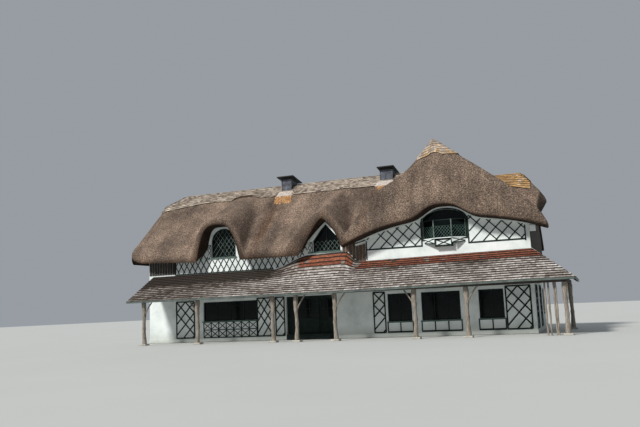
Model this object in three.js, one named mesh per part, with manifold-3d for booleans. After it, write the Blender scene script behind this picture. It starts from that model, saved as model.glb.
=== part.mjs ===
// Thatched garden cottage with a timber veranda, two dormers and a tall peaked
// gable wing. Millimetres, Z up, the front faces -Y, the ground is Z = 0.
import * as THREE from 'three';
import Module from 'manifold-3d';
import { mergeVertices } from 'three/addons/utils/BufferGeometryUtils.js';

const wasm = await Module();
wasm.setup();

const group = new THREE.Group();
group.name = 'thatched_cottage';

// Sizes, in the order in which they are used.
const GAP = 0.3;
const CENTRE_X = -550;
const CENTRE_Y = 5025;

const WALL_LEFT = -11750;
const WALL_RIGHT = 9900;
const WALL_FRONT = 2200;
const WALL_BACK = 9800;
const WALL_THICK = 300;
const GABLE_WALL_TOP = 7050;
const FLOOR_TOP = 300;
const UPPER_FLOOR_TOP = 3300;
const UPPER_FLOOR_THICK = 220;

const RIDGE_Y = 6000;
const RIDGE_Z = 9150;
const REAR_RIDGE_Z = 8420;
const EAVE_Z = 4850;
const EAVE_FRONT = 1500;
const EAVE_BACK = 10500;
const THATCH_LEFT = -12950;
const LEFT_ROUND = 1450;
const THATCH_DEPTH = 420;

const PEAK_X = 5300;
const PEAK_Y = 3100;
const PEAK_Z = 10200;
const WING_FRONT = 1200;
const WING_EDGE = 300;
const WING_LEFT = 4620;
const WING_RIGHT = 5500;

const DORMER_1_X = -6820;
const DORMER_2_X = -460;
const SOFFIT_END = 2500;
const CAP_DEPTH = 60;

const VERANDA_EAVE_Y = -450;
const VERANDA_EAVE_Z = 2420;
const VERANDA_TOP_Z = 3880;
const HEAD_LIFT = 120;
const VERANDA_THICK = 110;
const VERANDA_LEFT = -11450;
const VERANDA_RIGHT = 11850;
const VERANDA_END_Y = 6700;

const BEAM_TOP = 2508;
const BEAM_BOTTOM = 2320;

const DOOR_LEFT = -1200;
const DOOR_RIGHT = -245;
const DOOR_TOP = 2200;
const BAY_LEFT = -3050;
const BAY_RIGHT = -140;
const BAY_TOP = 2310;

// Small tools for closed solids.
function material(colour, roughness, metalness) {
  return new THREE.MeshStandardMaterial({ color: colour, roughness, metalness });
}

const WHITE_RENDER = material(0xe9ebe6, 0.9, 0);
const THATCH = material(0x7d6a5e, 0.98, 0);
const RIDGE_SHINGLE = material(0xa08458, 0.9, 0);
const SHINGLE = material(0xb5a9a6, 0.85, 0);
const DARK_TIMBER = material(0x1f3a30, 0.6, 0);
const LEAD = material(0x50555c, 0.6, 0.4);
const BARK = material(0x9a9285, 0.95, 0);
const FLOOR_STONE = material(0xb8b2a6, 0.9, 0);
const FLOOR_WOOD = material(0x8a6b4c, 0.7, 0);

function toManifold(geometry) {
  const plain = geometry.clone();
  plain.deleteAttribute('normal');
  plain.deleteAttribute('uv');
  const merged = mergeVertices(plain, 0.001);
  return new wasm.Manifold(new wasm.Mesh({
    numProp: 3,
    vertProperties: new Float32Array(merged.attributes.position.array),
    triVerts: new Uint32Array(merged.index.array),
  }));
}

function fromManifold(solid) {
  const mesh = solid.getMesh();
  const geometry = new THREE.BufferGeometry();
  geometry.setAttribute('position', new THREE.BufferAttribute(new Float32Array(mesh.vertProperties), 3));
  geometry.setIndex(new THREE.BufferAttribute(new Uint32Array(mesh.triVerts), 1));
  return geometry;
}

function unite(geometries) {
  let solid = toManifold(geometries[0]);
  for (let i = 1; i < geometries.length; i += 1) {
    solid = solid.add(toManifold(geometries[i]));
  }
  return fromManifold(solid);
}

function cut(geometry, tools) {
  let solid = toManifold(geometry);
  for (const tool of tools) {
    solid = solid.subtract(toManifold(tool));
  }
  return fromManifold(solid);
}

function add(name, geometry, look) {
  geometry.translate(-CENTRE_X, -CENTRE_Y, 0);
  const mesh = new THREE.Mesh(geometry, look);
  mesh.name = name;
  group.add(mesh);
}

function box(x0, x1, y0, y1, z0, z1) {
  const geometry = new THREE.BoxGeometry(x1 - x0, y1 - y0, z1 - z0);
  geometry.translate((x0 + x1) / 2, (y0 + y1) / 2, (z0 + z1) / 2);
  return geometry;
}

// Leaves out the points of an outline that lie on a straight run.
function cornersOnly(points) {
  return points.filter((p, i) => {
    const a = points[(i + points.length - 1) % points.length];
    const b = points[(i + 1) % points.length];
    const area = (p[0] - a[0]) * (b[1] - a[1]) - (p[1] - a[1]) * (b[0] - a[0]);
    return Math.abs(area) > 200;
  });
}

// A flat outline of [x, z] points made thick along Y, from y0 to y1.
function plateXZ(points, holes, y0, y1) {
  const corners = cornersOnly(points);
  const shape = new THREE.Shape(corners.map(([x, z]) => new THREE.Vector2(x, z)));
  const geometry = new THREE.ExtrudeGeometry(shape, { depth: y1 - y0, bevelEnabled: false });
  geometry.rotateX(Math.PI / 2);
  geometry.translate(0, y1, 0);
  if (holes.length === 0) {
    return geometry;
  }
  return cut(geometry, holes.map((hole) => plateXZ(hole, [], y0 - 10, y1 + 10)));
}

// The same for an outline of [y, z] points made thick along X.
function plateYZ(points, holes, x0, x1) {
  const geometry = plateXZ(points, holes, 0, x1 - x0);
  geometry.rotateZ(Math.PI / 2);
  geometry.translate(x1, 0, 0);
  return geometry;
}

// Compact smooth maximum: equal to the larger value outside the blend width.
function blendMax(a, b, width) {
  const h = Math.max(width - Math.abs(a - b), 0);
  return Math.max(a, b) + (h * h) / (4 * width);
}

// Closed solid between two height functions over a grid of nominal columns and rows.
// The diagonals lean towards the wing's peak on both of its sides.
function fieldSolid(columns, rows, place, topZ, bottomZ) {
  const nx = columns.length;
  const ny = rows.length;
  const positions = [];
  for (const height of [topZ, bottomZ]) {
    for (let j = 0; j < ny; j += 1) {
      for (let i = 0; i < nx; i += 1) {
        const [x, y] = place(columns[i], rows[j]);
        positions.push(x, y, height(x, y));
      }
    }
  }
  const index = [];
  const layer = nx * ny;
  const at = (i, j) => j * nx + i;
  for (let j = 0; j < ny - 1; j += 1) {
    for (let i = 0; i < nx - 1; i += 1) {
      const a = at(i, j);
      const b = at(i + 1, j);
      const c = at(i + 1, j + 1);
      const d = at(i, j + 1);
      if (columns[i] < PEAK_X - 1) {
        index.push(a, b, c, a, c, d);
        index.push(layer + a, layer + c, layer + b, layer + a, layer + d, layer + c);
      } else {
        index.push(a, b, d, b, c, d);
        index.push(layer + a, layer + d, layer + b, layer + b, layer + d, layer + c);
      }
    }
  }
  const rim = [];
  for (let i = 0; i < nx; i += 1) {
    rim.push(at(i, 0));
  }
  for (let j = 1; j < ny; j += 1) {
    rim.push(at(nx - 1, j));
  }
  for (let i = nx - 2; i >= 0; i -= 1) {
    rim.push(at(i, ny - 1));
  }
  for (let j = ny - 2; j > 0; j -= 1) {
    rim.push(at(0, j));
  }
  for (let k = 0; k < rim.length; k += 1) {
    const p = rim[k];
    const q = rim[(k + 1) % rim.length];
    index.push(p, layer + p, layer + q, p, layer + q, q);
  }
  const geometry = new THREE.BufferGeometry();
  geometry.setAttribute('position', new THREE.BufferAttribute(new Float32Array(positions), 3));
  geometry.setIndex(index);
  return geometry;
}

// Roof form: one height function for the top of the thatch and one for its underside.
function ridgeHeight(x) {
  const t = Math.min(Math.max((x - 3200) / 3800, 0), 1);
  return RIDGE_Z + (REAR_RIDGE_Z - RIDGE_Z) * t;
}

// Main range: two slopes, half hips at both ends and a rounded verge at the left. The
// front slope steepens at the right end, where a valley parts it from the wing.
function mainZ(x, y) {
  const ridge = ridgeHeight(x);
  const eave = EAVE_Z + 220 * Math.min(Math.max((-7500 - x) / 5000, 0), 1);
  const fall = (ridge - eave) / (RIDGE_Y - EAVE_FRONT);
  const steep = y < RIDGE_Y ? 1 + 0.64 * Math.min(Math.max((x - 8000) / 1800, 0), 1) : 1;
  let z = ridge - fall * steep * Math.abs(y - RIDGE_Y);
  const q = Math.min(Math.max((THATCH_LEFT + LEFT_ROUND - x) / LEFT_ROUND, 0), 1);
  z = eave + (z - eave) * (1 - q ** 14);
  z = Math.min(z, RIDGE_Z + 0.6 * (x + 11400));
  return Math.min(z, REAR_RIDGE_Z - 1.2 * (x - 9380));
}

// The coat is thicker under the rear right nose, and its butt there is cut on a slant.
function mainUnder(x, y) {
  const nose = REAR_RIDGE_Z - 1.2 * (x - 9380) - 1350;
  const cut = 6700 - (10600 - x);
  const thinner = 160 * Math.min(Math.max((x - 10200) / 400, 0), 1);
  return Math.min(mainZ(x, y) - THATCH_DEPTH + thinner, Math.max(nose, cut));
}

// Lower edge of the peaked wing's thatch along its front.
function wingEdgeZ(x) {
  const side = Math.abs(x - 5600) / 4950;
  const sag = x < 5600 ? 1100 : 780;
  const hump = 600 * Math.exp(-((Math.abs(x - 5900) / 1150) ** 3));
  return 5850 - sag * side ** 2.2 + hump;
}

// Peaked wing: a steep curved hip at the front and bell-cast side slopes.
function wingZ(x, y, edge) {
  const d = x - PEAK_X;
  const left = d < 0;
  const tip = left ? WING_LEFT : WING_RIGHT;
  const power = left ? 5 : 7;
  const tipDrop = PEAK_Z - wingEdgeZ(left ? PEAK_X - tip : PEAK_X + tip) - WING_EDGE;
  const bell = left ? 780 : 620;
  const hollow = (r) => {
    const away = r * tip;
    return left && away < 2600 ? 330 * Math.sin((Math.PI * away) / 2600) : 0;
  };
  const sideDrop = (r) => (tipDrop - bell) * r + bell * r ** power + hollow(r);
  const s = Math.min((PEAK_Y - y) / (PEAK_Y - WING_FRONT), 1.2);
  let z;
  if (s > 0 && Math.abs(d) < s * tip) {
    const u = d / s;
    const r = Math.abs(u) / tip;
    const drop = PEAK_Z - wingEdgeZ(PEAK_X + u) - WING_EDGE;
    const curve = bell * r ** 2;
    z = PEAK_Z - (drop - curve) * s - curve * s ** power - hollow(s) * r ** 2;
  } else {
    z = PEAK_Z - sideDrop(Math.min(Math.abs(d) / tip, 1.25));
    if (y > PEAK_Y) {
      z -= 0.31 * (y - PEAK_Y);
    }
  }
  const backSlope = 9200 - 0.98 * (y - RIDGE_Y);
  return Math.min(z, backSlope) - (WING_EDGE - edge);
}

// Round-headed dormer (1) and pointed dormer (2), carried up towards the ridge.
function dormerZ(x, y, centre, crown, half, drop, power, rise) {
  const side = Math.min(Math.abs(x - centre) / half, 1.3);
  const behind = Math.max(y - 5300, 0);
  return crown + rise * (y - behind - EAVE_FRONT) - 2 * behind - drop * side ** power;
}

// Both hoods narrow from the eave to the wall, then rise steeply inside the roof.
function hoodDepth(y) {
  return Math.min(Math.max((y - EAVE_FRONT) / 700, 0), 1);
}

function indoorRise(y) {
  return 3 * Math.max(y - SOFFIT_END, 0);
}

function roundHoodUnder(x, y) {
  const t = hoodDepth(y);
  const side = Math.min(Math.abs(x + 6760 + 20 * t) / (1380 - 250 * t), 1.3);
  const hood = 6500 - 80 * t + indoorRise(y) - 2050 * side ** (3.8 + 1.2 * t);
  return Math.min(hood, dormerZ(x, y, DORMER_1_X, 6500, 1400, 2050, 3.3, 0.45));
}

function pointedTop(x, y) {
  if (x < DORMER_2_X) {
    return dormerZ(x, y, DORMER_2_X, 6780, 2300, 1950, 1.5, 0.42);
  }
  return dormerZ(x, y, DORMER_2_X, 6780, 1700, 1990, 1.4, 0.42);
}

function pointedHoodUnder(x, y) {
  const t = hoodDepth(y);
  const d = x + 550;
  const crown = 6340 - 120 * t + indoorRise(y);
  const leftSide = Math.min(Math.abs(d) / (1480 - 180 * t), 1.3);
  const rightSide = Math.min(Math.abs(d) / 1270, 1.3);
  const cheek = 8 * t * Math.max(-d - 1150, 0);
  const leftDrop = (1400 - 180 * t) * leftSide ** (2.3 - 1.2 * t) + cheek;
  const hood = crown - (d < 0 ? leftDrop : 1900 * rightSide ** 1.5);
  return Math.min(hood, dormerZ(x, y, DORMER_2_X, 6380, 1380, 1900, 1.38, 0.42));
}

// Level soffit from the arched front edge back to the gable wall.
function wingUnder(x, y) {
  return Math.min(wingZ(x, y, 0), wingEdgeZ(x) - 40 * hoodDepth(y) + indoorRise(y));
}

function thatchTop(x, y) {
  let z = mainZ(x, y);
  z = blendMax(z, dormerZ(x, y, DORMER_1_X, 6850, 1700, 2100, 3.2, 0.45), 350);
  z = blendMax(z, pointedTop(x, y), 300);
  return blendMax(z, wingZ(x, y, WING_EDGE), 250);
}

function thatchUnder(x, y) {
  let z = mainUnder(x, y);
  z = blendMax(z, roundHoodUnder(x, y), 60);
  z = blendMax(z, pointedHoodUnder(x, y), 60);
  return blendMax(z, wingUnder(x, y), 100);
}

function frontEdge(x) {
  if (x < THATCH_LEFT + LEFT_ROUND) {
    const q = (THATCH_LEFT + LEFT_ROUND - x) / LEFT_ROUND;
    return EAVE_FRONT + 800 * (1 - Math.sqrt(1 - Math.min(q * q, 1)));
  }
  const t = Math.min(Math.max((x - 250) / 450, 0), 1);
  return EAVE_FRONT + (WING_FRONT - EAVE_FRONT) * t;
}

function backEdge(x) {
  if (x < THATCH_LEFT + LEFT_ROUND) {
    const q = (THATCH_LEFT + LEFT_ROUND - x) / LEFT_ROUND;
    return EAVE_BACK - 800 * (1 - Math.sqrt(1 - Math.min(q * q, 1)));
  }
  return EAVE_BACK;
}

function rightEdge(y) {
  const stops = [
    [3100, 10750],
    [3700, 10380],
    [4500, 10200],
    [6000, 10600],
    [7000, 10250],
    [8000, 10000],
  ];
  if (y <= stops[0][0]) {
    return stops[0][1];
  }
  for (let i = 1; i < stops.length; i += 1) {
    if (y <= stops[i][0]) {
      const t = (y - stops[i - 1][0]) / (stops[i][0] - stops[i - 1][0]);
      return stops[i - 1][1] + (stops[i][1] - stops[i - 1][1]) * t;
    }
  }
  return stops[stops.length - 1][1];
}

// Nominal rows run 1200..6000 in front of the ridge and 6000..10500 behind it.
function place(column, row) {
  let y;
  if (row <= RIDGE_Y) {
    const edge = frontEdge(column);
    y = edge + ((row - WING_FRONT) / (RIDGE_Y - WING_FRONT)) * (RIDGE_Y - edge);
  } else {
    y = RIDGE_Y + ((row - RIDGE_Y) / (EAVE_BACK - RIDGE_Y)) * (backEdge(column) - RIDGE_Y);
  }
  let x = column;
  if (column > 9900) {
    x = 9900 + ((column - 9900) / 900) * (rightEdge(y) - 9900);
  }
  return [x, y];
}

function spread(from, to, count) {
  const list = [];
  for (let i = 0; i <= count; i += 1) {
    list.push(from + ((to - from) * i) / count);
  }
  return list;
}

const COLUMNS = [
  -12950, -12900, -12800, -12650, -12450, -12200, -11800, -11400, -11000, -10400, -9800, -9200,
  ...spread(-8600, -5000, 18), -4500, -4000, -3500, -3000,
  ...spread(-2300, PEAK_X - WING_LEFT, 15),
  ...spread(PEAK_X - WING_LEFT, PEAK_X, 12).slice(1),
  ...spread(PEAK_X, 9900, 10).slice(1), 10080, 10350, 10580, PEAK_X + WING_RIGHT,
];
const FRONT_ROWS = [1200, 1480, 1850, 2300, 2900, 3700, 4500, 5180, 5600, 6000];
const WING_ROWS = [...spread(WING_FRONT, PEAK_Y, 12), 3700, 4300, 4900, 5180, 5600, 6000];
const BACK_ROWS = [6000, 6400, 6820, 7500, 8500, 9500, 10200, 10500];

function pick(list, from, to) {
  return list.filter((value) => value >= from - 1 && value <= to + 1);
}

// Neighbouring pieces of thatch keep a hair's gap at their shared edges.
function inset(list, low, high) {
  const copy = list.slice();
  if (low) {
    copy[0] += GAP / 2;
  }
  if (high) {
    copy[copy.length - 1] -= GAP / 2;
  }
  return copy;
}

// Everything above the underside of the thatch, used to trim the wall heads to it.
const ABOVE_THATCH = [];

function thatchPiece(name, from, to, rows, lowX, highX, lowY, highY) {
  const columns = inset(pick(COLUMNS, from, to), lowX, highX);
  const lines = inset(rows, lowY, highY);
  add(name, fieldSolid(columns, lines, place, thatchTop, thatchUnder), THATCH);
  const under = (x, y) => thatchUnder(x, y) - 0.5;
  ABOVE_THATCH.push(fieldSolid(pick(COLUMNS, from, to), rows, place, () => 15000, under));
}

thatchPiece('thatch_left_end_front', -12950, -9200, FRONT_ROWS, false, true, false, true);
thatchPiece('thatch_round_dormer', -9200, -3500, FRONT_ROWS, true, true, false, true);
thatchPiece('thatch_pointed_dormer', -3500, PEAK_X - WING_LEFT, FRONT_ROWS, true, true, false, true);
thatchPiece('thatch_gable_left', PEAK_X - WING_LEFT, PEAK_X, WING_ROWS, true, true, false, true);
thatchPiece('thatch_gable_right', PEAK_X, 10800, WING_ROWS, true, false, false, true);
thatchPiece('thatch_left_end_back', -12950, -9200, BACK_ROWS, false, true, true, false);
thatchPiece('thatch_back', -9200, PEAK_X, BACK_ROWS, true, true, true, false);
thatchPiece('thatch_right_end_back', PEAK_X, 10800, BACK_ROWS, true, false, true, false);

// Shingle caps ride on the crown of the thatch.
function capPiece(name, from, to, rows) {
  const columns = pick(COLUMNS, from, to);
  const under = (x, y) => thatchTop(x, y) + 0.5;
  const over = (x, y) => thatchTop(x, y) + CAP_DEPTH;
  add(name, fieldSolid(columns, rows, place, over, under), RIDGE_SHINGLE);
}

const CAP_ROWS = [5180, 5600, 6000, 6400, 6820];
capPiece('ridge_cap', -12650, 2991, CAP_ROWS);
capPiece('rear_ridge_cap', 7133, 9884, CAP_ROWS);
capPiece('peak_cap', 4529, 6676, [...WING_ROWS.slice(10, 13), 3700, 4300]);

// Chimneys: short stacks with flared lids that fall to the back, both clad in sheet lead.
const STACK_FRONT = 5500;
const STACK_BACK = 6400;
const LID_FRONT = 5250;
const LID_BACK = 6650;
const LID_FALL = 0.17;
const LID_DEPTH = 130;

function chimney(name, x0, x1, lidX0, lidX1, lidZ) {
  const lidTop = (x, y) => lidZ - LID_FALL * (y - LID_FRONT);
  const straight = (x, y) => [x, y];
  const inStack = (x, y) => x > lidX0 && x < lidX1 && y > LID_FRONT && y < LID_BACK;
  const lidUnder = (x, y) => lidTop(x, y) - (inStack(x, y) ? LID_DEPTH : 60);
  const under = (x, y) => thatchTop(x, y) + CAP_DEPTH + 1;
  const stackTop = (x, y) => lidTop(x, y) - LID_DEPTH - GAP;
  const stackRows = [STACK_FRONT, RIDGE_Y, STACK_BACK];
  add(`${name}_stack`, fieldSolid([x0, x1], stackRows, straight, stackTop, under), LEAD);
  const lidColumns = [lidX0, x0 - 20, x1 + 20, lidX1];
  const lidRows = [LID_FRONT, STACK_FRONT - 20, STACK_BACK + 20, LID_BACK];
  add(`${name}_cap`, fieldSolid(lidColumns, lidRows, straight, lidTop, lidUnder), LEAD);
}

chimney('left_chimney', -4530, -3870, -4720, -3640, 9600);
chimney('right_chimney', 1660, 2430, 1560, 2560, 9510);

// Windows: painted timber frames set back in the walls.
// Outline of a window or its hole, grown or shrunk by a margin.
function windowOutline(w, margin) {
  const x0 = w.x0 - margin;
  const x1 = w.x1 + margin;
  const z0 = w.z0 - margin;
  const z1 = w.z1 + margin;
  const cx = (x0 + x1) / 2;
  const half = (x1 - x0) / 2;
  const points = [[x0, z0], [x1, z0]];
  if (w.head === 'flat') {
    points.push([x1, z1], [x0, z1]);
    return points;
  }
  const spring = Math.max(w.z1 - w.rise, z0 + 40);
  const rise = z1 - spring;
  const steps = w.head === 'round' ? 12 : 6;
  for (let i = 0; i <= steps; i += 1) {
    const t = (Math.PI * i) / steps;
    const c = Math.cos(t);
    const lift = w.head === 'round' ? Math.sin(t) : 1 - Math.abs(c) ** 1.15;
    points.push([cx + half * c, spring + rise * lift]);
  }
  return points;
}

const FRONT_WINDOWS = {
  long_window: { x0: -8150, x1: -4800, z0: 1150, z1: 2220, head: 'flat' },
  round_dormer_window: { x0: -7550, x1: -6000, z0: 4700, z1: 6330, head: 'round', rise: 750 },
  pointed_dormer_window: { x0: -1320, x1: 230, z0: 4620, z1: 6120, head: 'point', rise: 900 },
  ground_window_1: { x0: 2650, x1: 3900, z0: 800, z1: 2200, head: 'flat' },
  ground_window_2: { x0: 4400, x1: 6350, z0: 800, z1: 2200, head: 'flat' },
  ground_window_3: { x0: 7250, x1: 8450, z0: 800, z1: 2200, head: 'flat' },
  gable_window: { x0: 4680, x1: 6920, z0: 4820, z1: 6300, head: 'round', rise: 550 },
};
const BACK_WINDOWS = {
  back_window_1: { x0: -8000, x1: -6000, z0: 900, z1: 2200, head: 'flat' },
  back_window_2: { x0: 4000, x1: 6000, z0: 900, z1: 2200, head: 'flat' },
};
const END_WINDOWS = {
  left_window: { x0: 5100, x1: 6900, z0: 900, z1: 2200, head: 'flat' },
  right_window: { x0: 7400, x1: 8800, z0: 900, z1: 2200, head: 'flat' },
};

// A window is one joinery unit: a deep frame round a thin glazed panel.
function windowUnit(w, y0, plate) {
  const outer = windowOutline(w, -GAP);
  const inner = windowOutline(w, -60);
  const frame = plate(outer, [inner], y0, y0 + 90);
  const panel = plate(windowOutline(w, -30), [], y0 + 35, y0 + 55);
  return unite([frame, panel]);
}

for (const [name, w] of Object.entries(FRONT_WINDOWS)) {
  add(name, windowUnit(w, WALL_FRONT + 60, plateXZ), DARK_TIMBER);
}
for (const [name, w] of Object.entries(BACK_WINDOWS)) {
  add(name, windowUnit(w, WALL_BACK - 150, plateXZ), DARK_TIMBER);
}
add('left_window', windowUnit(END_WINDOWS.left_window, WALL_LEFT + 60, plateYZ), DARK_TIMBER);
add('right_window', windowUnit(END_WINDOWS.right_window, WALL_RIGHT - 150, plateYZ), DARK_TIMBER);

// The gable window has a canted glazed bay in front of it, carried on a bracket frame.
function planPlate(points, z0, z1) {
  const shape = new THREE.Shape(points.map(([x, y]) => new THREE.Vector2(x, y)));
  const geometry = new THREE.ExtrudeGeometry(shape, { depth: z1 - z0, bevelEnabled: false });
  geometry.translate(0, 0, z0);
  return geometry;
}

const BAY_BACK = WALL_FRONT - GAP;
const BAY_FRONT = 1830;
const BAY_SILL = 4800;
const BAY_HEAD = 5760;

function orielBay() {
  const outer = [[4720, BAY_BACK], [5320, BAY_FRONT], [6220, BAY_FRONT], [6860, BAY_BACK]];
  const inner = [[4860, BAY_BACK + 10], [5345, BAY_FRONT + 50], [6195, BAY_FRONT + 50], [6720, BAY_BACK + 10]];
  const cabinet = cut(planPlate(outer, BAY_SILL, BAY_HEAD), [planPlate(inner, BAY_SILL + 60, BAY_HEAD - 40)]);
  const bracket = cut(box(5330, 6210, 1900, BAY_BACK, 4420, BAY_SILL + 5), [
    box(5400, 6140, 1800, 2100, 4490, BAY_SILL - 60),
  ]);
  return unite([cabinet, bracket]);
}
add('oriel_bay', orielBay(), DARK_TIMBER);

// Walls: rendered masonry, cut for the windows and trimmed to the thatch.
function holesOf(windows, x0, x1) {
  const list = [];
  for (const w of Object.values(windows)) {
    if (w.x0 > x0 && w.x1 < x1) {
      list.push(windowOutline(w, 0));
    }
  }
  return list;
}

function longWall(name, x0, x1, z0, y0, y1, windows) {
  const points = [[x0, z0], [x1, z0], [x1, GABLE_WALL_TOP], [x0, GABLE_WALL_TOP]];
  const slab = plateXZ(points, holesOf(windows, x0, x1), y0, y1);
  add(name, cut(slab, ABOVE_THATCH), WHITE_RENDER);
}

const FRONT_IN = WALL_FRONT + WALL_THICK;
const BACK_IN = WALL_BACK - WALL_THICK;
longWall('front_wall', WALL_LEFT, BAY_LEFT - GAP, 0, WALL_FRONT, FRONT_IN, FRONT_WINDOWS);
longWall('wall_over_door', BAY_LEFT, 1040 - GAP, BAY_TOP, WALL_FRONT, FRONT_IN, {
  pointed_dormer_window: FRONT_WINDOWS.pointed_dormer_window,
});
const DOOR_PIER = box(BAY_RIGHT, 1040 - GAP, WALL_FRONT, FRONT_IN, 0, BAY_TOP - GAP);
add('wall_beside_door', DOOR_PIER, WHITE_RENDER);
longWall('gable_wall', 1040, WALL_RIGHT, 0, WALL_FRONT, FRONT_IN, FRONT_WINDOWS);
longWall('back_wall', WALL_LEFT, WALL_RIGHT, 0, BACK_IN, WALL_BACK, BACK_WINDOWS);

function endWall(name, x0, x1, w) {
  const y0 = FRONT_IN + GAP;
  const y1 = BACK_IN - GAP;
  const points = [[y0, 0], [y1, 0], [y1, RIDGE_Z], [y0, RIDGE_Z]];
  const slab = plateYZ(points, [windowOutline(w, 0)], x0, x1);
  add(name, cut(slab, ABOVE_THATCH), WHITE_RENDER);
}

endWall('left_wall', WALL_LEFT, WALL_LEFT + WALL_THICK, END_WINDOWS.left_window);
endWall('right_wall', WALL_RIGHT - WALL_THICK, WALL_RIGHT, END_WINDOWS.right_window);

// Floors: stone at ground level, boards above.
const IN_LEFT = WALL_LEFT + WALL_THICK + GAP;
const IN_RIGHT = WALL_RIGHT - WALL_THICK - GAP;

function floorSlab(z0, z1) {
  return box(IN_LEFT, IN_RIGHT, FRONT_IN + GAP, BACK_IN - GAP, z0, z1);
}

add('ground_floor', floorSlab(0, FLOOR_TOP), FLOOR_STONE);
add('upper_floor', floorSlab(UPPER_FLOOR_TOP - UPPER_FLOOR_THICK, UPPER_FLOOR_TOP), FLOOR_WOOD);

// Garden door: an inward leaf on two butt hinges, in a frame with a glazed screen.
const FRAME_BACK = 2475;
const HINGE_Y = 2490;
const HINGE_X = -243;
const HINGE_HEIGHTS = [520, 1900];

function cylinder(x, y, z0, z1, radius) {
  const geometry = new THREE.CylinderGeometry(radius, radius, z1 - z0, 16);
  geometry.rotateX(Math.PI / 2);
  geometry.translate(x, y, (z0 + z1) / 2);
  return geometry;
}

function doorFrame() {
  const parts = [
    box(BAY_LEFT + GAP, BAY_LEFT + 100, 2380, FRAME_BACK, 0, BAY_TOP - GAP),
    box(DOOR_LEFT - 108, DOOR_LEFT - 8, 2380, FRAME_BACK, 0, BAY_TOP - GAP),
    box(DOOR_RIGHT + 5, BAY_RIGHT - GAP, 2380, FRAME_BACK, 0, BAY_TOP - GAP),
    box(BAY_LEFT + GAP, BAY_RIGHT - GAP, 2380, FRAME_BACK, DOOR_TOP + 6, BAY_TOP - GAP),
    box(BAY_LEFT + GAP, BAY_RIGHT - GAP, 2210, FRAME_BACK, 0, FLOOR_TOP),
  ];
  for (const z of HINGE_HEIGHTS) {
    parts.push(cylinder(HINGE_X, HINGE_Y, z - 45, z - GAP, 12));
    parts.push(box(HINGE_X + 3, HINGE_X + 70, FRAME_BACK - 2, FRAME_BACK + 9, z - 45, z - 5));
  }
  return unite(parts);
}

function doorLeaf() {
  const parts = [
    cut(box(DOOR_LEFT, DOOR_RIGHT, 2430, 2474, FLOOR_TOP + 6, DOOR_TOP), [
      box(DOOR_LEFT + 110, DOOR_RIGHT - 110, 2420, 2443, 1120, DOOR_TOP - 120),
      box(DOOR_LEFT + 110, DOOR_RIGHT - 110, 2461, 2490, 1120, DOOR_TOP - 120),
    ]),
  ];
  for (const z of HINGE_HEIGHTS) {
    parts.push(cylinder(HINGE_X, HINGE_Y, z, z + 50, 12));
    parts.push(box(HINGE_X - 110, HINGE_X - 2, 2472, 2484, z, z + 50));
  }
  return unite(parts);
}

function glazedScreen() {
  const x0 = BAY_LEFT + 100 + GAP;
  const x1 = DOOR_LEFT - 108 - GAP;
  const z0 = FLOOR_TOP + GAP;
  const z1 = DOOR_TOP + 6 - GAP;
  return cut(box(x0, x1, 2395, 2465, z0, z1), [
    box(x0 + 60, x1 - 60, 2390, 2420, 1120, z1 - 70),
    box(x0 + 60, x1 - 60, 2440, 2470, 1120, z1 - 70),
  ]);
}

add('door_frame', doorFrame(), DARK_TIMBER);
add('garden_door', doorLeaf(), DARK_TIMBER);
add('glazed_screen', glazedScreen(), DARK_TIMBER);

// Veranda roof: split shingles on boards, with a swoop under the pointed dormer.
function verandaTop(x, y) {
  const front = (WALL_FRONT - y) / (WALL_FRONT - VERANDA_EAVE_Y);
  const right = (x - WALL_RIGHT) / (VERANDA_RIGHT - WALL_RIGHT);
  const t = 1 - Math.max(front, right);
  const up = Math.min(Math.max((x + 3700) / 2100, 0), 1);
  const down = Math.min(Math.max((x - 500) / 700, 0), 1);
  const ease = (v) => v * v * (3 - 2 * v);
  const swoop = 600 * ease(up) * (1 - ease(down));
  const lift = 100 * Math.min(Math.max((x - 500) / 9000, 0), 1);
  const head = HEAD_LIFT * Math.min(Math.max((x + 3700) / 4900, 0), 1);
  const rise = VERANDA_TOP_Z + head - VERANDA_EAVE_Z;
  return VERANDA_EAVE_Z + lift + rise * t + swoop * Math.max(t, 0) ** 4;
}

function verandaUnder(x, y) {
  return verandaTop(x, y) - VERANDA_THICK;
}

const VERANDA_ROWS = [VERANDA_EAVE_Y, 500, 1200, 1700, 2000, WALL_FRONT - GAP];
const straight = (x, y) => [x, y];

function verandaPiece(name, columns) {
  add(name, fieldSolid(columns, VERANDA_ROWS, straight, verandaTop, verandaUnder), SHINGLE);
}

verandaPiece('veranda_roof_left', [VERANDA_LEFT, -9000, -6500, -3700 - GAP]);
verandaPiece('veranda_roof_middle', spread(-3700, 1200 - GAP, 14));
verandaPiece('veranda_roof_front', [1200, 4000, 7000, WALL_RIGHT - GAP]);

// The right return of the roof: a mitred front corner and a straight side run.
function verandaCorner() {
  const rows = [VERANDA_EAVE_Y, 0, 500, 1200, 1700, WALL_FRONT, 4000, VERANDA_END_Y];
  const columns = [];
  for (let i = 0; i <= 6; i += 1) {
    columns.push(i / 6);
  }
  const corner = (c, y) => [WALL_RIGHT + GAP + c * (VERANDA_RIGHT - WALL_RIGHT - GAP), y];
  const top = (x, y) => {
    const front = (WALL_FRONT - y) / (WALL_FRONT - VERANDA_EAVE_Y);
    const right = (x - WALL_RIGHT) / (VERANDA_RIGHT - WALL_RIGHT);
    const t = 1 - Math.max(front, right);
    return VERANDA_EAVE_Z + 100 + (VERANDA_TOP_Z + HEAD_LIFT - VERANDA_EAVE_Z) * t;
  };
  return fieldSolid(columns, rows, corner, top, (x, y) => top(x, y) - VERANDA_THICK);
}
add('veranda_roof_right', verandaCorner(), SHINGLE);

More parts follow.
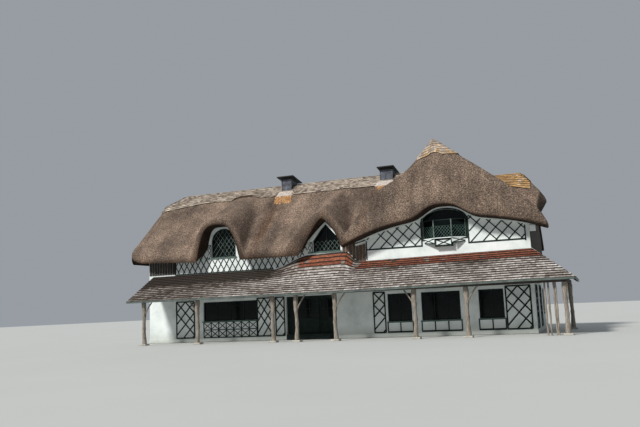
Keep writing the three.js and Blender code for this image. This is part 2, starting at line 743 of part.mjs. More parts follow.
// Beams and posts: squared beams on bare tree trunks.
const BEAM_LEFT = -11300;
const BEAM_RIGHT = 11480;
add('veranda_beam', box(BEAM_LEFT, BEAM_RIGHT, -90, 90, BEAM_BOTTOM, BEAM_TOP), BARK);
add('side_beam', box(11290, 11470, 90 + GAP, 6500, BEAM_BOTTOM, BEAM_TOP), BARK);

// A tapering crooked trunk through a list of [x, y, z, radius] stations.
function trunk(stations, sides) {
  const positions = [];
  for (const [x, y, z, r] of stations) {
    for (let k = 0; k < sides; k += 1) {
      const a = (2 * Math.PI * k) / sides;
      positions.push(x + r * Math.cos(a), y + r * Math.sin(a), z);
    }
  }
  const index = [];
  const rings = stations.length;
  for (let j = 0; j < rings - 1; j += 1) {
    for (let k = 0; k < sides; k += 1) {
      const a = j * sides + k;
      const b = j * sides + ((k + 1) % sides);
      index.push(a, b, b + sides, a, b + sides, a + sides);
    }
  }
  for (let k = 1; k < sides - 1; k += 1) {
    index.push(0, k + 1, k);
    const o = (rings - 1) * sides;
    index.push(o, o + k, o + k + 1);
  }
  const geometry = new THREE.BufferGeometry();
  geometry.setAttribute('position', new THREE.BufferAttribute(new Float32Array(positions), 3));
  geometry.setIndex(index);
  return geometry;
}

// Trunk posts with a foot stone; some fork near the top into a branch brace.
const POSTS = [
  { name: 'post_1', x: -10600, y: 0, lean: 30, bow: -40, brace: 500 },
  { name: 'post_2', x: -7200, y: 0, lean: -40, bow: 45, brace: -520 },
  { name: 'post_3', x: -2810, y: 0, lean: 25, bow: -35, brace: 0 },
  { name: 'post_4', x: -1490, y: 0, lean: -30, bow: 50, brace: 480 },
  { name: 'post_5', x: 560, y: 0, lean: 35, bow: -45, brace: 560 },
  { name: 'post_6', x: 4590, y: 0, lean: -25, bow: 35, brace: -500 },
  { name: 'post_7', x: 7020, y: 0, lean: 30, bow: -30, brace: 520 },
  { name: 'post_8', x: 11350, y: 0, lean: -20, bow: 30, brace: 0 },
  { name: 'post_9', x: 11380, y: 6350, lean: 0, bow: 25, brace: 0 },
];

function post(spec) {
  const top = BEAM_BOTTOM - GAP;
  const stations = [];
  for (let i = 0; i <= 6; i += 1) {
    const t = i / 6;
    const bend = spec.bow * Math.sin(Math.PI * 1.6 * t);
    const r = 125 - 35 * Math.sin(Math.PI * Math.min(t * 1.15, 1));
    const x = spec.x + spec.lean * (1 - t) + bend * t * (1 - t) * 3;
    stations.push([x, spec.y, 60 + (top - 60) * t, r]);
  }
  const parts = [trunk(stations, 10)];
  parts.push(box(spec.x - 210, spec.x + 210, spec.y - 200, spec.y + 200, 0, 90));
  if (spec.brace !== 0) {
    parts.push(trunk([
      [spec.x, spec.y, 1480, 55],
      [spec.x + spec.brace * 0.35, spec.y, 1800, 55],
      [spec.x + spec.brace * 0.75, spec.y, 2120, 50],
      [spec.x + spec.brace, spec.y, top, 55],
    ], 8));
  }
  return unite(parts);
}

for (const spec of POSTS) {
  add(spec.name, post(spec), BARK);
}

// A rustic screen of upright poles closes the veranda's right-hand corner.
function poleScreen() {
  const parts = [
    box(10440, 11020, -30, 30, 420, 480),
    box(10440, 11020, -30, 30, 1980, 2040),
  ];
  for (const x of [10500, 10650, 10890, 10960]) {
    parts.push(cylinder(x, 0, 0, BEAM_BOTTOM - GAP, 45));
  }
  return unite(parts);
}
add('pole_screen', poleScreen(), BARK);

export default group;
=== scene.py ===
import math
import random

import bpy
import numpy as np
from mathutils import Matrix, Vector, noise


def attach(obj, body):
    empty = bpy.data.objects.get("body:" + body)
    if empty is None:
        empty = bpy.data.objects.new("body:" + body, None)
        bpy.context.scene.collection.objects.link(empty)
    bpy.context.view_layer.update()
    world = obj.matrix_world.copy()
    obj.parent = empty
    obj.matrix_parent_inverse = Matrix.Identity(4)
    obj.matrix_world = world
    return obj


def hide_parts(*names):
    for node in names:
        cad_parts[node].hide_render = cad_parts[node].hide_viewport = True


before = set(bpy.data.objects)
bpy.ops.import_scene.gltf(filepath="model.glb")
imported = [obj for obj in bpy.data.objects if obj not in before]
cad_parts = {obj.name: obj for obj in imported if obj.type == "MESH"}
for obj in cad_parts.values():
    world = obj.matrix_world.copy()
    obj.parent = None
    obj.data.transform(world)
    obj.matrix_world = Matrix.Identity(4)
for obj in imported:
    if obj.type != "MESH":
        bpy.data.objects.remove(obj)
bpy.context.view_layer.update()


# Camera: it stands before the front at eye height, right of the middle, turned 21 degrees
# to the left, tipped up towards the ridge and rolled a little. Pixels are of a 640 px frame.
eye = (13.09288, -37.70031, 1.55)
focal_px, tip_px, frame_px = 700, 96, 640
yaw = math.radians(21.0)
pitch = math.atan(tip_px / focal_px)
roll = math.radians(2.4)
ahead = Vector((-math.sin(yaw), math.cos(yaw), 0))
level = Vector((math.cos(yaw), math.sin(yaw), 0))
upright = Vector((0, 0, 1))
look = ahead * math.cos(pitch) + upright * math.sin(pitch)
tipped = upright * math.cos(pitch) - ahead * math.sin(pitch)
right = level * math.cos(roll) - tipped * math.sin(roll)
head = level * math.sin(roll) + tipped * math.cos(roll)
bpy.ops.object.camera_add(location=(0, 0, 0))
camera = bpy.context.object
camera.name = "garden_camera"
camera.matrix_world = Matrix([(right[i], head[i], -look[i], eye[i]) for i in range(3)]
                             + [(0, 0, 0, 1)])
camera.data.sensor_width = 36.0
camera.data.lens = camera.data.sensor_width * focal_px / frame_px
camera.data.clip_end = 600.0
bpy.context.scene.camera = camera


# Stage: a plain pale floor of matt studio card with a faint unevenness, one broad key
# light from the front left, and a pale sky as fill.
def linear(code):
    values = [int(code[i:i + 2], 16) / 255 for i in (1, 3, 5)]
    bent = [v / 12.92 if v <= 0.04045 else ((v + 0.055) / 1.055) ** 2.4 for v in values]
    return (bent[0], bent[1], bent[2], 1.0)


def link(material, source, socket):
    # A node given alone stands for the first of its outputs that is in use.
    if isinstance(source, bpy.types.Node):
        source = next(output for output in source.outputs if output.enabled)
    material.node_tree.links.new(source, socket)


def add_node(material, kind, settings=None, links=None):
    node = material.node_tree.nodes.new("ShaderNode" + kind)
    for name, value in (settings or {}).items():
        if name == "stops":
            while len(node.color_ramp.elements) < len(value):
                node.color_ramp.elements.new(0.5)
            for element, (place, code) in zip(node.color_ramp.elements, value):
                element.position = place
                element.color = linear(code)
        elif isinstance(name, str) and name in node.bl_rna.properties:
            setattr(node, name, value)
        else:
            node.inputs[name].default_value = value
    for name, source in (links or {}).items():
        link(material, source, node.inputs[name])
    return node


def new_material(name, settings):
    material = bpy.data.materials.new(name)
    material.use_nodes = True
    for socket, value in settings.items():
        material.node_tree.nodes["Principled BSDF"].inputs[socket].default_value = value
    return material


def wire_up(material, colour, height=None, strength=0.0, distance=0.0):
    # Gives a finish its colour and, from a height in metres, its relief.
    shader = material.node_tree.nodes["Principled BSDF"]
    link(material, colour, shader.inputs["Base Color"])
    if height:
        relief = add_node(material, "Bump", {"Strength": strength, "Distance": distance},
                          {"Height": height})
        link(material, relief, shader.inputs["Normal"])


def tinted_noise(material, place, grain, stops):
    # A noise of that scale, detail and roughness, and the colours that it runs through.
    settings = dict(zip(("Scale", "Detail", "Roughness"), grain))
    cloud = add_node(material, "TexNoise", settings, {"Vector": place})
    return cloud, add_node(material, "ValToRGB", {"stops": stops}, {"Fac": cloud})


def mottled(name, settings, grain, stops, stretch=None, relief=None):
    # A finish whose colour, and relief where it has one, follow one noise on the object.
    # The relief is given by its strength and its depth in metres.
    material = new_material(name, settings)
    place = add_node(material, "TexCoord").outputs["Object"]
    if stretch:
        place = add_node(material, "Mapping", {"Scale": stretch}, {"Vector": place})
    cloud, tone = tinted_noise(material, place, grain, stops)
    wire_up(material, tone, *((cloud, *relief) if relief else ()))
    return material


def finish_nodes(finish, *node_names):
    for node_name in node_names:
        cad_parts[node_name].material_slots[0].material = finish


# Matt card: no shine, and clouds metres wide that only just show.
card = mottled("pale_studio_card", {"Roughness": 0.9}, (0.15, 2.0),
               [(0.3, "#bfc1be"), (0.7, "#c2c4c1")])
bpy.ops.mesh.primitive_plane_add(size=360, location=(0, 60, 0))
floor = bpy.context.object
floor.name = "studio_floor"
bpy.ops.object.transform_apply(location=True)
floor.data.materials.append(card)

bpy.ops.object.light_add(type="SUN", rotation=(math.radians(51), 0, math.radians(-26)))
key_light = bpy.context.object
key_light.name = "key_light"
key_light.data.energy = 3.6
key_light.data.angle = math.radians(9)
key_light.data.color = (1.0, 0.975, 0.94)

sky = bpy.data.worlds.new("pale_sky")
sky.use_nodes = True
sky.node_tree.nodes["Background"].inputs["Color"].default_value = linear("#dfe7ef")
sky.node_tree.nodes["Background"].inputs["Strength"].default_value = 0.42
bpy.context.scene.world = sky
bpy.context.scene.view_settings.view_transform = "Standard"


# Thatch: water reed laid in coats about 0.35 m deep and weathered brown-grey, dressed over
# the dormers and swept up into the tall peak, with its butts trimmed at the eaves. One sheet
# with an upper and a lower face, in metres from the veranda's post line: X right, Y inwards.
PLAN_TO_ORIGIN = (0.55, -5.025, 0)
RIDGE_Y, MAIN_RIDGE, REAR_RIDGE = 6.0, 9.15, 8.42    # the ridges' line and two heights
EAVE, EAVE_Y, EAVE_RUN = 4.85, 1.5, 4.5              # eave height, place and run to the ridge
TURN_X, TURN_RUN = -11.5, 1.45                       # where the left end rounds down
PEAK_X, PEAK_TOP, PEAK_DEPTH = 5.3, 10.2, 0.3        # the wing's apex and its coat
HIP_Y, HIP_RUN, HIP_LEFT, HIP_RIGHT = 3.1, 1.9, 4.62, 5.5    # its hipped front
ROUND_X, POINT_X = -6.82, -0.46                      # the two dormers' middles
BUTT = 0.22                                          # how far a trimmed edge rounds over


def ramp(value, start, length):
    # 0 up to the start, then evenly up to 1 over the length.
    return np.clip((value - start) / length, 0, 1)


def roof_main(x, y):
    # Two slopes and the rear right ridge; the left end rounds down, the right one is cut back.
    ridge = MAIN_RIDGE - (MAIN_RIDGE - REAR_RIDGE) * ramp(x, 3.2, 3.8)
    eave = EAVE + 0.22 * ramp(-x, 7.5, 5)
    steep = np.where(y < RIDGE_Y, 1 + 0.64 * ramp(x, 8, 1.8), 1)
    z = ridge - (ridge - eave) / EAVE_RUN * steep * np.abs(y - RIDGE_Y)
    z = eave + (z - eave) * (1 - ramp(-x, -TURN_X, TURN_RUN) ** 14)
    z = np.minimum(z, MAIN_RIDGE + 0.6 * (x + 11.4))
    return np.minimum(z, REAR_RIDGE - 1.2 * (x - 9.38))


def wing_edge(x):
    # The arched front edge of the wing, with its hump over the gable window.
    side = np.abs(x - 5.6) / 4.95
    sag = np.where(x < 5.6, 1.1, 0.78)
    return 5.85 - sag * side ** 2.2 + 0.6 * np.exp(-(np.abs(x - 5.9) / 1.15) ** 3)


def wing_coat(x, y, edge):
    # The peak: a hipped front that bells out to the arched edge, and two flanks behind it.
    d = x - PEAK_X
    left = d < 0
    tip = np.where(left, HIP_LEFT, HIP_RIGHT)
    power = np.where(left, 5.0, 7.0)
    bell = np.where(left, 0.78, 0.62)
    fall = PEAK_TOP - PEAK_DEPTH - wing_edge(np.where(left, 0.68, 10.8))
    s = np.minimum((HIP_Y - y) / HIP_RUN, 1.2)
    s_up = np.maximum(s, 1e-6)
    hip = (s > 0) & (np.abs(d) < s * tip)

    def hollow(r):
        return np.where(left & (r * tip < 2.6), 0.33 * np.sin(np.pi * r * tip / 2.6), 0)

    u = d / s_up
    r = np.abs(u) / tip
    curve = bell * np.minimum(r, 2) ** 2
    drop = PEAK_TOP - PEAK_DEPTH - wing_edge(PEAK_X + np.clip(u, -6, 6))
    front = PEAK_TOP - (drop - curve) * s - curve * np.maximum(s, 0) ** power
    front = front - hollow(np.maximum(s, 0)) * np.minimum(r, 2) ** 2
    k = np.minimum(np.abs(d) / tip, 1.25)
    flank = PEAK_TOP - ((fall - bell) * k + bell * k ** power + hollow(k))
    flank = flank - 0.31 * np.maximum(y - HIP_Y, 0)
    behind = 9.2 - 0.98 * (y - RIDGE_Y)
    return np.minimum(np.where(hip, front, flank), behind) - (PEAK_DEPTH - edge)


def dormer_coat(x, y, centre, crown, half, drop, power, rise):
    side = np.minimum(np.abs(x - centre) / half, 1.3)
    behind = np.maximum(y - 5.3, 0)
    return crown + rise * (y - behind - EAVE_Y) - 2 * behind - drop * side ** power


def soft_max(a, b, width):
    h = np.maximum(width - np.abs(a - b), 0)
    return np.maximum(a, b) + h * h / (4 * width)


def hood_depth(y):
    return ramp(y, EAVE_Y, 0.7)


def indoor_rise(y):
    return 3 * np.maximum(y - 2.5, 0)


def round_hood_under(x, y):
    t = hood_depth(y)
    side = np.minimum(np.abs(x + 6.76 + 0.02 * t) / (1.38 - 0.25 * t), 1.3)
    hood = 6.5 - 0.08 * t + indoor_rise(y) - 2.05 * side ** (3.8 + 1.2 * t)
    return np.minimum(hood, dormer_coat(x, y, ROUND_X, 6.5, 1.4, 2.05, 3.3, 0.45))


def pointed_top(x, y):
    return np.where(x < POINT_X, dormer_coat(x, y, POINT_X, 6.78, 2.3, 1.95, 1.5, 0.42),
                    dormer_coat(x, y, POINT_X, 6.78, 1.7, 1.99, 1.4, 0.42))


def pointed_hood_under(x, y):
    t = hood_depth(y)
    d = x + 0.55
    crown = 6.34 - 0.12 * t + indoor_rise(y)
    left_side = np.minimum(np.abs(d) / (1.48 - 0.18 * t), 1.3)
    right_side = np.minimum(np.abs(d) / 1.27, 1.3)
    left_drop = (1.4 - 0.18 * t) * left_side ** (2.3 - 1.2 * t)
    left_drop = left_drop + 8 * t * np.maximum(-d - 1.15, 0)
    hood = crown - np.where(d < 0, left_drop, 1.9 * right_side ** 1.5)
    return np.minimum(hood, dormer_coat(x, y, POINT_X, 6.38, 1.38, 1.9, 1.38, 0.42))


def thatch_top(x, y):
    z = soft_max(roof_main(x, y), dormer_coat(x, y, ROUND_X, 6.85, 1.7, 2.1, 3.2, 0.45), 0.35)
    z = soft_max(z, pointed_top(x, y), 0.3)
    return soft_max(z, wing_coat(x, y, PEAK_DEPTH), 0.25)


def thatch_under(x, y):
    nose = np.maximum(7.07 - 1.2 * (x - 9.38), x - 3.9)
    z = np.minimum(roof_main(x, y) - 0.42 + 0.16 * ramp(x, 10.2, 0.4), nose)
    z = soft_max(z, round_hood_under(x, y), 0.06)
    z = soft_max(z, pointed_hood_under(x, y), 0.06)
    soffit = wing_edge(x) - 0.04 * hood_depth(y) + indoor_rise(y)
    return soft_max(z, np.minimum(wing_coat(x, y, 0.0), soffit), 0.1)


def lip(distance):
    # How far the trimmed butt of the coat rounds down near an edge, in metres.
    inside = np.clip(BUTT - distance, 0, BUTT)
    return BUTT - np.sqrt(np.maximum(BUTT ** 2 - inside ** 2, 0))


def settle(piece, material, slot, body="house", stands_for=()):
    piece.data.materials.clear()
    piece.data.materials.append(material)
    piece.data.transform(Matrix.Translation(PLAN_TO_ORIGIN))
    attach(piece, body)
    if stands_for:
        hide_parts(*stands_for)


def face_outwards():
    bpy.ops.object.mode_set(mode="EDIT")
    bpy.ops.mesh.select_all(action="SELECT")
    bpy.ops.mesh.normals_make_consistent(inside=False)
    bpy.ops.object.mode_set(mode="OBJECT")


def model_sheet(name, columns, rows):
    # A grid drawn down one unit: its upper and lower faces are then laid by formula.
    bpy.ops.object.select_all(action="DESELECT")
    bpy.ops.mesh.primitive_grid_add(x_subdivisions=columns, y_subdivisions=rows, size=2)
    piece = bpy.context.object
    piece.name = name
    bpy.ops.object.mode_set(mode="EDIT")
    bpy.ops.mesh.select_all(action="SELECT")
    bpy.ops.mesh.extrude_region_move(TRANSFORM_OT_translate={"value": (0, 0, -1)})
    face_outwards()
    points = np.array([v.co for v in piece.data.vertices])
    return piece, (points[:, 0] + 1) / 2, (points[:, 1] + 1) / 2, points[:, 2] < -0.5


def lay_sheet(piece, x, y, z):
    points = np.column_stack([x, y, z]).astype(np.float32)
    piece.data.vertices.foreach_set("co", points.ravel())
    piece.data.update()


# Columns and rows stand closer at the ends and edges, where the butts round over.
columns = np.concatenate([np.arange(-12.95, -12.6, 0.025), np.arange(-12.6, 10.5, 0.1),
                          [10.55, 10.6, 10.66, 10.71, 10.75, 10.78, 10.792, 10.8]])
front_rows = np.concatenate([[0, 0.008, 0.025, 0.055, 0.1, 0.155], np.linspace(BUTT, 4.8, 54)])
back_rows = np.concatenate([np.linspace(0.1, 4.3, 34), [4.35, 4.4, 4.44, 4.47, 4.49, EAVE_RUN]])
last_row = len(front_rows) + len(back_rows) - 1
thatch, u, v, lower = model_sheet("reed_thatch", len(columns) - 1, last_row)
along = columns[np.rint(u * (len(columns) - 1)).astype(int)]
row = np.rint(v * last_row).astype(int)
is_front = row < len(front_rows)
front_way = front_rows[np.minimum(row, len(front_rows) - 1)]
back_way = back_rows[np.clip(row - len(front_rows), 0, len(back_rows) - 1)]
rounding = 0.8 * (1 - np.sqrt(1 - ramp(-along, -TURN_X, TURN_RUN) ** 2))
eave_y = np.where(along < TURN_X, EAVE_Y + rounding, EAVE_Y - 0.3 * ramp(along, 0.25, 0.45))
deep = np.where(is_front, eave_y + front_way / 4.8 * (RIDGE_Y - eave_y),
                RIDGE_Y + back_way / EAVE_RUN * (EAVE_RUN - rounding))
rake = np.interp(deep, [3.1, 3.7, 4.5, 6.0, 7.0, 8.0], [10.75, 10.38, 10.2, 10.6, 10.25, 10.0])
across = np.where(along > 9.9, 9.9 + (along - 9.9) / 0.9 * (rake - 9.9), along)
from_edge = np.minimum(np.where(is_front, front_way, EAVE_RUN - back_way),
                       np.maximum(10.8 - along, 0))
ripple = np.array([noise.noise(Vector((a * 1.4, b * 1.4, 3.0)))
                   + 0.5 * noise.noise(Vector((a * 4.5, b * 4.5, 9.0)))
                   for a, b in zip(across, deep)])
dressed = thatch_top(across, deep) - lip(from_edge) * 0.85 - 0.02 * np.clip(ripple + 0.6, 0, 1.6)
lay_sheet(thatch, across, deep, np.where(lower, thatch_under(across, deep), dressed))

# Reed runs down each slope, so its grain follows an across-slope and a down-slope length.
on_wing = wing_coat(across, deep, PEAK_DEPTH) > roof_main(across, deep) + 0.1
fan = np.maximum((HIP_Y - deep) / HIP_RUN, 1e-3)
hip_reach = fan * np.where(across < PEAK_X, HIP_LEFT, HIP_RIGHT)
on_hip = on_wing & (np.abs(across - PEAK_X) < hip_reach) & (deep < HIP_Y)
grain_u = np.where(on_hip, 30 + (across - PEAK_X) / np.maximum(fan, 0.15),
                   np.where(on_wing, 60 + deep, across))
grain_v = np.where(on_hip, deep * 3, np.where(on_wing, across, deep * 1.4))
uv_map = thatch.data.uv_layers.new(name="reed_grain")
corner_vertex = np.empty(len(thatch.data.loops), np.int32)
thatch.data.loops.foreach_get("vertex_index", corner_vertex)
grain = np.column_stack([grain_u, grain_v])[corner_vertex].astype(np.float32)
uv_map.data.foreach_set("uv", grain.ravel())
# Painted shade: 1 over the whole underside, and up to 0.3 on the top face just behind a trimmed
# edge, where the reed is darkened.
underside_shade_layer = thatch.data.attributes.new("cut_butt", "FLOAT", "POINT")
butt = np.where(lower, 1.0, 0.3 * np.clip(1 - from_edge / 0.12, 0, 1))
underside_shade_layer.data.foreach_set("value", butt.astype(np.float32))
face_outwards()
bpy.ops.object.shade_smooth_by_angle(angle=math.radians(52))

# Weathered reed: dead matt and brown-grey in patches about 2 m wide, with a lay down the
# slope, pits where wind has pulled it, and painted shade on the underside and the trimmed butts. A
# reed end is 6 mm across and too fine to show, so the mottle is drawn at about 60 mm.
OVERLAY = {"data_type": "RGBA", "blend_type": "OVERLAY"}
MULTIPLY = {"data_type": "RGBA", "blend_type": "MULTIPLY"}
reed = new_material("weathered_water_reed", {"Roughness": 0.93, "Specular IOR Level": 0.2})
reed_coords = add_node(reed, "TexCoord")
reed_place = reed_coords.outputs["Object"]
reed_ground = tinted_noise(reed, reed_place, (0.55, 4.0, 0.6), [
    (0.30, "#726861"), (0.46, "#92887f"), (0.60, "#a79b90"), (0.74, "#bbafa4")])[1]
reed_mottle, reed_speck = tinted_noise(reed, reed_place, (17.0, 7.0, 0.8), [
    (0.39, "#332d2b"), (0.50, "#8c837d"), (0.60, "#ebe1d7")])
reed_mix = add_node(reed, "Mix", {**OVERLAY, 0: 0.85}, {6: reed_ground, 7: reed_speck})
reed_lay = add_node(reed, "Mapping", {"Scale": (16.0, 1.3, 1.0)},
                    {"Vector": reed_coords.outputs["UV"]})
reed_straw, reed_fine = tinted_noise(reed, reed_lay, (1.0, 5.0, 0.7),
                                     [(0.32, "#403936"), (0.68, "#c3bbb3")])
reed_grain = add_node(reed, "Mix", {**OVERLAY, 0: 0.65}, {6: reed_mix, 7: reed_fine})
reed_split = add_node(reed, "SeparateXYZ", {}, {"Vector": reed_place})
reed_wing = add_node(reed, "MapRange", {
    "From Min": 2.6, "From Max": 4.2, "To Min": 0.1, "To Max": 0.5},
    {"Value": reed_split.outputs["X"]})
reed_hole = tinted_noise(reed, reed_place, (19.0, 4.0, 0.7),
                         [(0.40, "#655a53"), (0.50, "#ffffff")])[1]
reed_pitted = add_node(reed, "Mix", MULTIPLY, {0: reed_wing, 6: reed_grain, 7: reed_hole})
# Painted shade: the underside and the trimmed butts are multiplied darker by this attribute.
reed_shade_amount = add_node(reed, "Attribute", {"attribute_name": "cut_butt"})
reed_shaded = add_node(reed, "Mix", {**MULTIPLY, 7: linear("#82766c")},
                     {0: reed_shade_amount.outputs["Fac"], 6: reed_pitted})
# Rust-brown streaks run down from the two chimneys and widen as they go.
reed_wave = add_node(reed, "Mapping", {"Scale": (2.6, 0.35, 0.35)}, {"Vector": reed_place})
reed_run = add_node(reed, "TexNoise", {"Scale": 1.0, "Detail": 4.0, "Roughness": 0.65},
                    {"Vector": reed_wave})
streaks = []
for centre, reach in ((-3.95, 1.25), (2.2, 0.7)):
    offset = add_node(reed, "Math", {"operation": "SUBTRACT", 1: centre},
                      {0: reed_split.outputs["X"]})
    away = add_node(reed, "Math", {"operation": "ABSOLUTE"}, {0: offset})
    near = add_node(reed, "MapRange", {"From Min": reach, "From Max": 0.2}, {"Value": away})
    streaks.append(add_node(reed, "Math", {"operation": "MULTIPLY"}, {0: near, 1: reed_run}))
reed_amount = add_node(reed, "Math", {"operation": "MAXIMUM"}, dict(enumerate(streaks)))
reed_stain = add_node(reed, "MapRange", {"From Min": 0.34, "From Max": 0.62, "To Max": 0.6},
                      {"Value": reed_amount})
reed_rust = add_node(reed, "Mix", {**MULTIPLY, 7: linear("#b08a74")},
                     {0: reed_stain, 6: reed_shaded})
reed_sum = add_node(reed, "Math", {"operation": "ADD"}, {0: reed_mottle, 1: reed_straw})
wire_up(reed, reed_rust, reed_sum, 0.8, 0.04)
settle(thatch, reed, "thatch", stands_for=(
    "thatch_left_end_front", "thatch_round_dormer", "thatch_pointed_dormer", "thatch_gable_left",
    "thatch_gable_right", "thatch_left_end_back", "thatch_back", "thatch_right_end_back"))


# Ridge caps: tan split shingles about 0.17 m wide, nailed in courses over the main ridge,
# the rear right ridge and the peak, each course lapping the one below it. One shingle is
# modelled in a unit cube and fitted to every place.
def model_block(name, centre, size=(1, 1, 1)):
    bpy.ops.object.select_all(action="DESELECT")
    bpy.ops.mesh.primitive_cube_add(size=1, location=centre, scale=size)
    piece = bpy.context.object
    piece.name = name
    bpy.ops.object.transform_apply(location=True, rotation=True, scale=True)
    return piece


def pick(kind, parts, wanted):
    # Selects the vertices or faces that are wanted, and leaves the piece in edit mode.
    bpy.ops.object.mode_set(mode="EDIT")
    bpy.ops.mesh.select_mode(type=kind)
    bpy.ops.mesh.select_all(action="DESELECT")
    bpy.ops.object.mode_set(mode="OBJECT")
    for part in parts:
        part.select = wanted(part)
    bpy.ops.object.mode_set(mode="EDIT")


def take_form(piece):
    # The points and faces of a piece that is only a pattern for copies.
    face_outwards()
    points = np.array([v.co for v in piece.data.vertices])
    faces = [list(p.vertices) for p in piece.data.polygons]
    bpy.data.objects.remove(piece)
    return points, faces


def build_piece(name, points, faces):
    mesh = bpy.data.meshes.new(name)
    mesh.from_pydata(points, [], faces)
    piece = bpy.data.objects.new(name, mesh)
    bpy.context.collection.objects.link(piece)
    return piece


# The second coordinate runs from the shingle's butt to its head, which is 0.7 thinner.
shingle = model_block("shingle", (0.5, 0.5, 0.5))
pick("VERT", shingle.data.vertices, lambda vertex: vertex.co.y > 0.5 and vertex.co.z > 0.5)
bpy.ops.transform.translate(value=(0, 0, -0.7))
shingle_points, shingle_faces = take_form(shingle)
chance = random.Random(11)


def lay_shingles(name, quads, thickness, lifts, tones):
    # quads holds butt-left, butt-right, head-right, head-left for each shingle.
    quads = np.array(quads, float)
    u, v, w = (shingle_points[:, i][None, :, None] for i in range(3))
    normals = np.cross(quads[:, 1] - quads[:, 0], quads[:, 3] - quads[:, 0])
    normals /= np.linalg.norm(normals, axis=1)[:, None]
    flat_part = (quads[:, None, 0] * (1 - u) * (1 - v) + quads[:, None, 1] * u * (1 - v)
                 + quads[:, None, 2] * u * v + quads[:, None, 3] * (1 - u) * v)
    rise = np.array(lifts)[:, None, None] * (1 - v) + thickness * w
    points = (flat_part + normals[:, None, :] * rise).reshape(-1, 3)
    each = len(shingle_points)
    faces = [[i + k * each for i in face] for k in range(len(quads)) for face in shingle_faces]
    piece = build_piece(name, points.tolist(), faces)
    tone = piece.data.attributes.new("shingle_tone", "FLOAT", "POINT")
    tone.data.foreach_set("value", np.repeat(np.array(tones, np.float32), each))
    butt_end = piece.data.attributes.new("shingle_butt", "FLOAT", "POINT")
    ends = np.tile(1 - shingle_points[:, 1], len(quads)).astype(np.float32)
    butt_end.data.foreach_set("value", ends)
    return piece


def split_course(first, start, end, width, spread, gap, spare=0.0):
    # The two edges of each shingle in a course of uneven widths; slivers are left out.
    x = first
    while x < end - spare:
        step = width * chance.uniform(*spread)
        a = max(x, start) + gap
        b = min(x + step, end) - gap
        x += step
        if b - a >= 0.03:
            yield a, b


def cleft_shingle(name, settings, top_tone, tones, dirt, dirt_tones, dirt_share,
                  butt_shade_from, lap_shade_span, lap_shade_share, edge, grain, strength):
    # Split wood: each shingle has its own tone and dirt lies over all. Dark lines of dirt and
    # painted shade run along each butt, and a band of painted shade lies where the next course
    # overhangs, both in the edge colour. The grain is 15 mm apart, so that it shows.
    wood = new_material(name, settings)
    place = add_node(wood, "TexCoord").outputs["Object"]
    own = add_node(wood, "Attribute", {"attribute_name": "shingle_tone"})
    share = add_node(wood, "Math", {"operation": "DIVIDE", 1: top_tone}, {0: own.outputs["Fac"]})
    tone = add_node(wood, "ValToRGB", {"stops": tones}, {"Fac": share})
    grime = tinted_noise(wood, place, dirt, dirt_tones)[1]
    soiled = add_node(wood, "Mix", {**MULTIPLY, 0: dirt_share}, {6: tone, 7: grime})
    # Painted shade: the butt end and the lapped band are mixed toward the edge colour.
    way = add_node(wood, "Attribute", {"attribute_name": "shingle_butt"})
    front = add_node(wood, "MapRange", {"From Min": butt_shade_from, "From Max": 1.0},
                     {"Value": way.outputs["Fac"]})
    lap_shade = add_node(wood, "MapRange", {
        "From Min": lap_shade_span[0], "From Max": lap_shade_span[1], "To Max": lap_shade_share},
        {"Value": way.outputs["Fac"]})
    shade_amount = add_node(wood, "Math", {"operation": "MAXIMUM"}, {0: front, 1: lap_shade})
    with_painted_shade = add_node(wood, "Mix", {"data_type": "RGBA", 7: linear(edge)}, {0: shade_amount, 6: soiled})
    fibre = add_node(wood, "TexNoise", {"Scale": grain, "Detail": 3.0}, {"Vector": place})
    wire_up(wood, with_painted_shade, fibre, strength, 0.004)
    return wood


def cap_courses(x0, x1, gaps):
    # Courses along X on both slopes, doubled at the foot and left out over each gap.
    width, reach = 0.17, 0.17
    ways = [0.8, 0.7, 0.6, 0.5, 0.4, 0.3, 0.2, 0.1]
    quads, tones, lifts = [], [], []
    for side in (-1, 1):
        for number, way in enumerate([ways[0] + 0.012] + ways):
            first = x0 - (width / 2 if number % 2 else 0)
            for a, b in split_course(first, x0, x1, width, (0.8, 1.2), 0.004):
                if side < 0 and way > 0.5 and any(g0 < (a + b) / 2 < g1 for g0, g1 in gaps):
                    continue
                butt = way + chance.uniform(-0.016, 0.006)
                top = max(way - reach, 0.0)
                near, far = (a, b) if side < 0 else (b, a)
                points = []
                for px, py in ((near, butt), (far, butt), (far, top), (near, top)):
                    wider = 0.5 * ramp(-px, 9.8, 2.6) if side < 0 and x0 < 0 else 0
                    y = RIDGE_Y + side * py * (1 + wider)
                    points.append((px, y, float(thatch_top(px, y)) + 0.004))
                quads.append(points)
                tones.append(chance.random())
                lifts.append(0.0 if number == 0 else 0.034)
    return quads, tones, lifts


# Tan cleft cedar, a few years old: matt, sandy to straw coloured, ochre where it is new.
tan = cleft_shingle(
    "tan_cleft_shingle", {"Roughness": 0.85, "Specular IOR Level": 0.25}, top_tone=1.5,
    tones=[(0.0, "#887b6f"), (0.22, "#b5a799"), (0.55, "#d2c4b4"), (0.68, "#e1d4c3"),
           (0.78, "#b48f60"), (1.0, "#d7ab74")],
    dirt=(1.3, 5.0, 0.65), dirt_tones=[(0.35, "#6f6a64"), (0.62, "#ffffff")], dirt_share=0.55,
    # edge is the colour of the dirt and painted shade at the butts and under each lap.
    butt_shade_from=0.94, lap_shade_span=(0.56, 0.44), lap_shade_share=0.5, edge="#5a4c3f",
    grain=60.0, strength=0.3)
quads, tones, lifts = cap_courses(-12.62, 2.985, [(-4.75, -3.75), (1.45, 2.45)])
main_cap = lay_shingles("ridge_cap_shingles", quads, 0.018, lifts, tones)
quads, tones, lifts = cap_courses(7.14, 9.87, [])
rear_cap = lay_shingles("rear_cap_shingles", quads, 0.018, lifts, [1.08 + 0.42 * t for t in tones])
settle(main_cap, tan, "ridge_shingle", stands_for=("ridge_cap",))
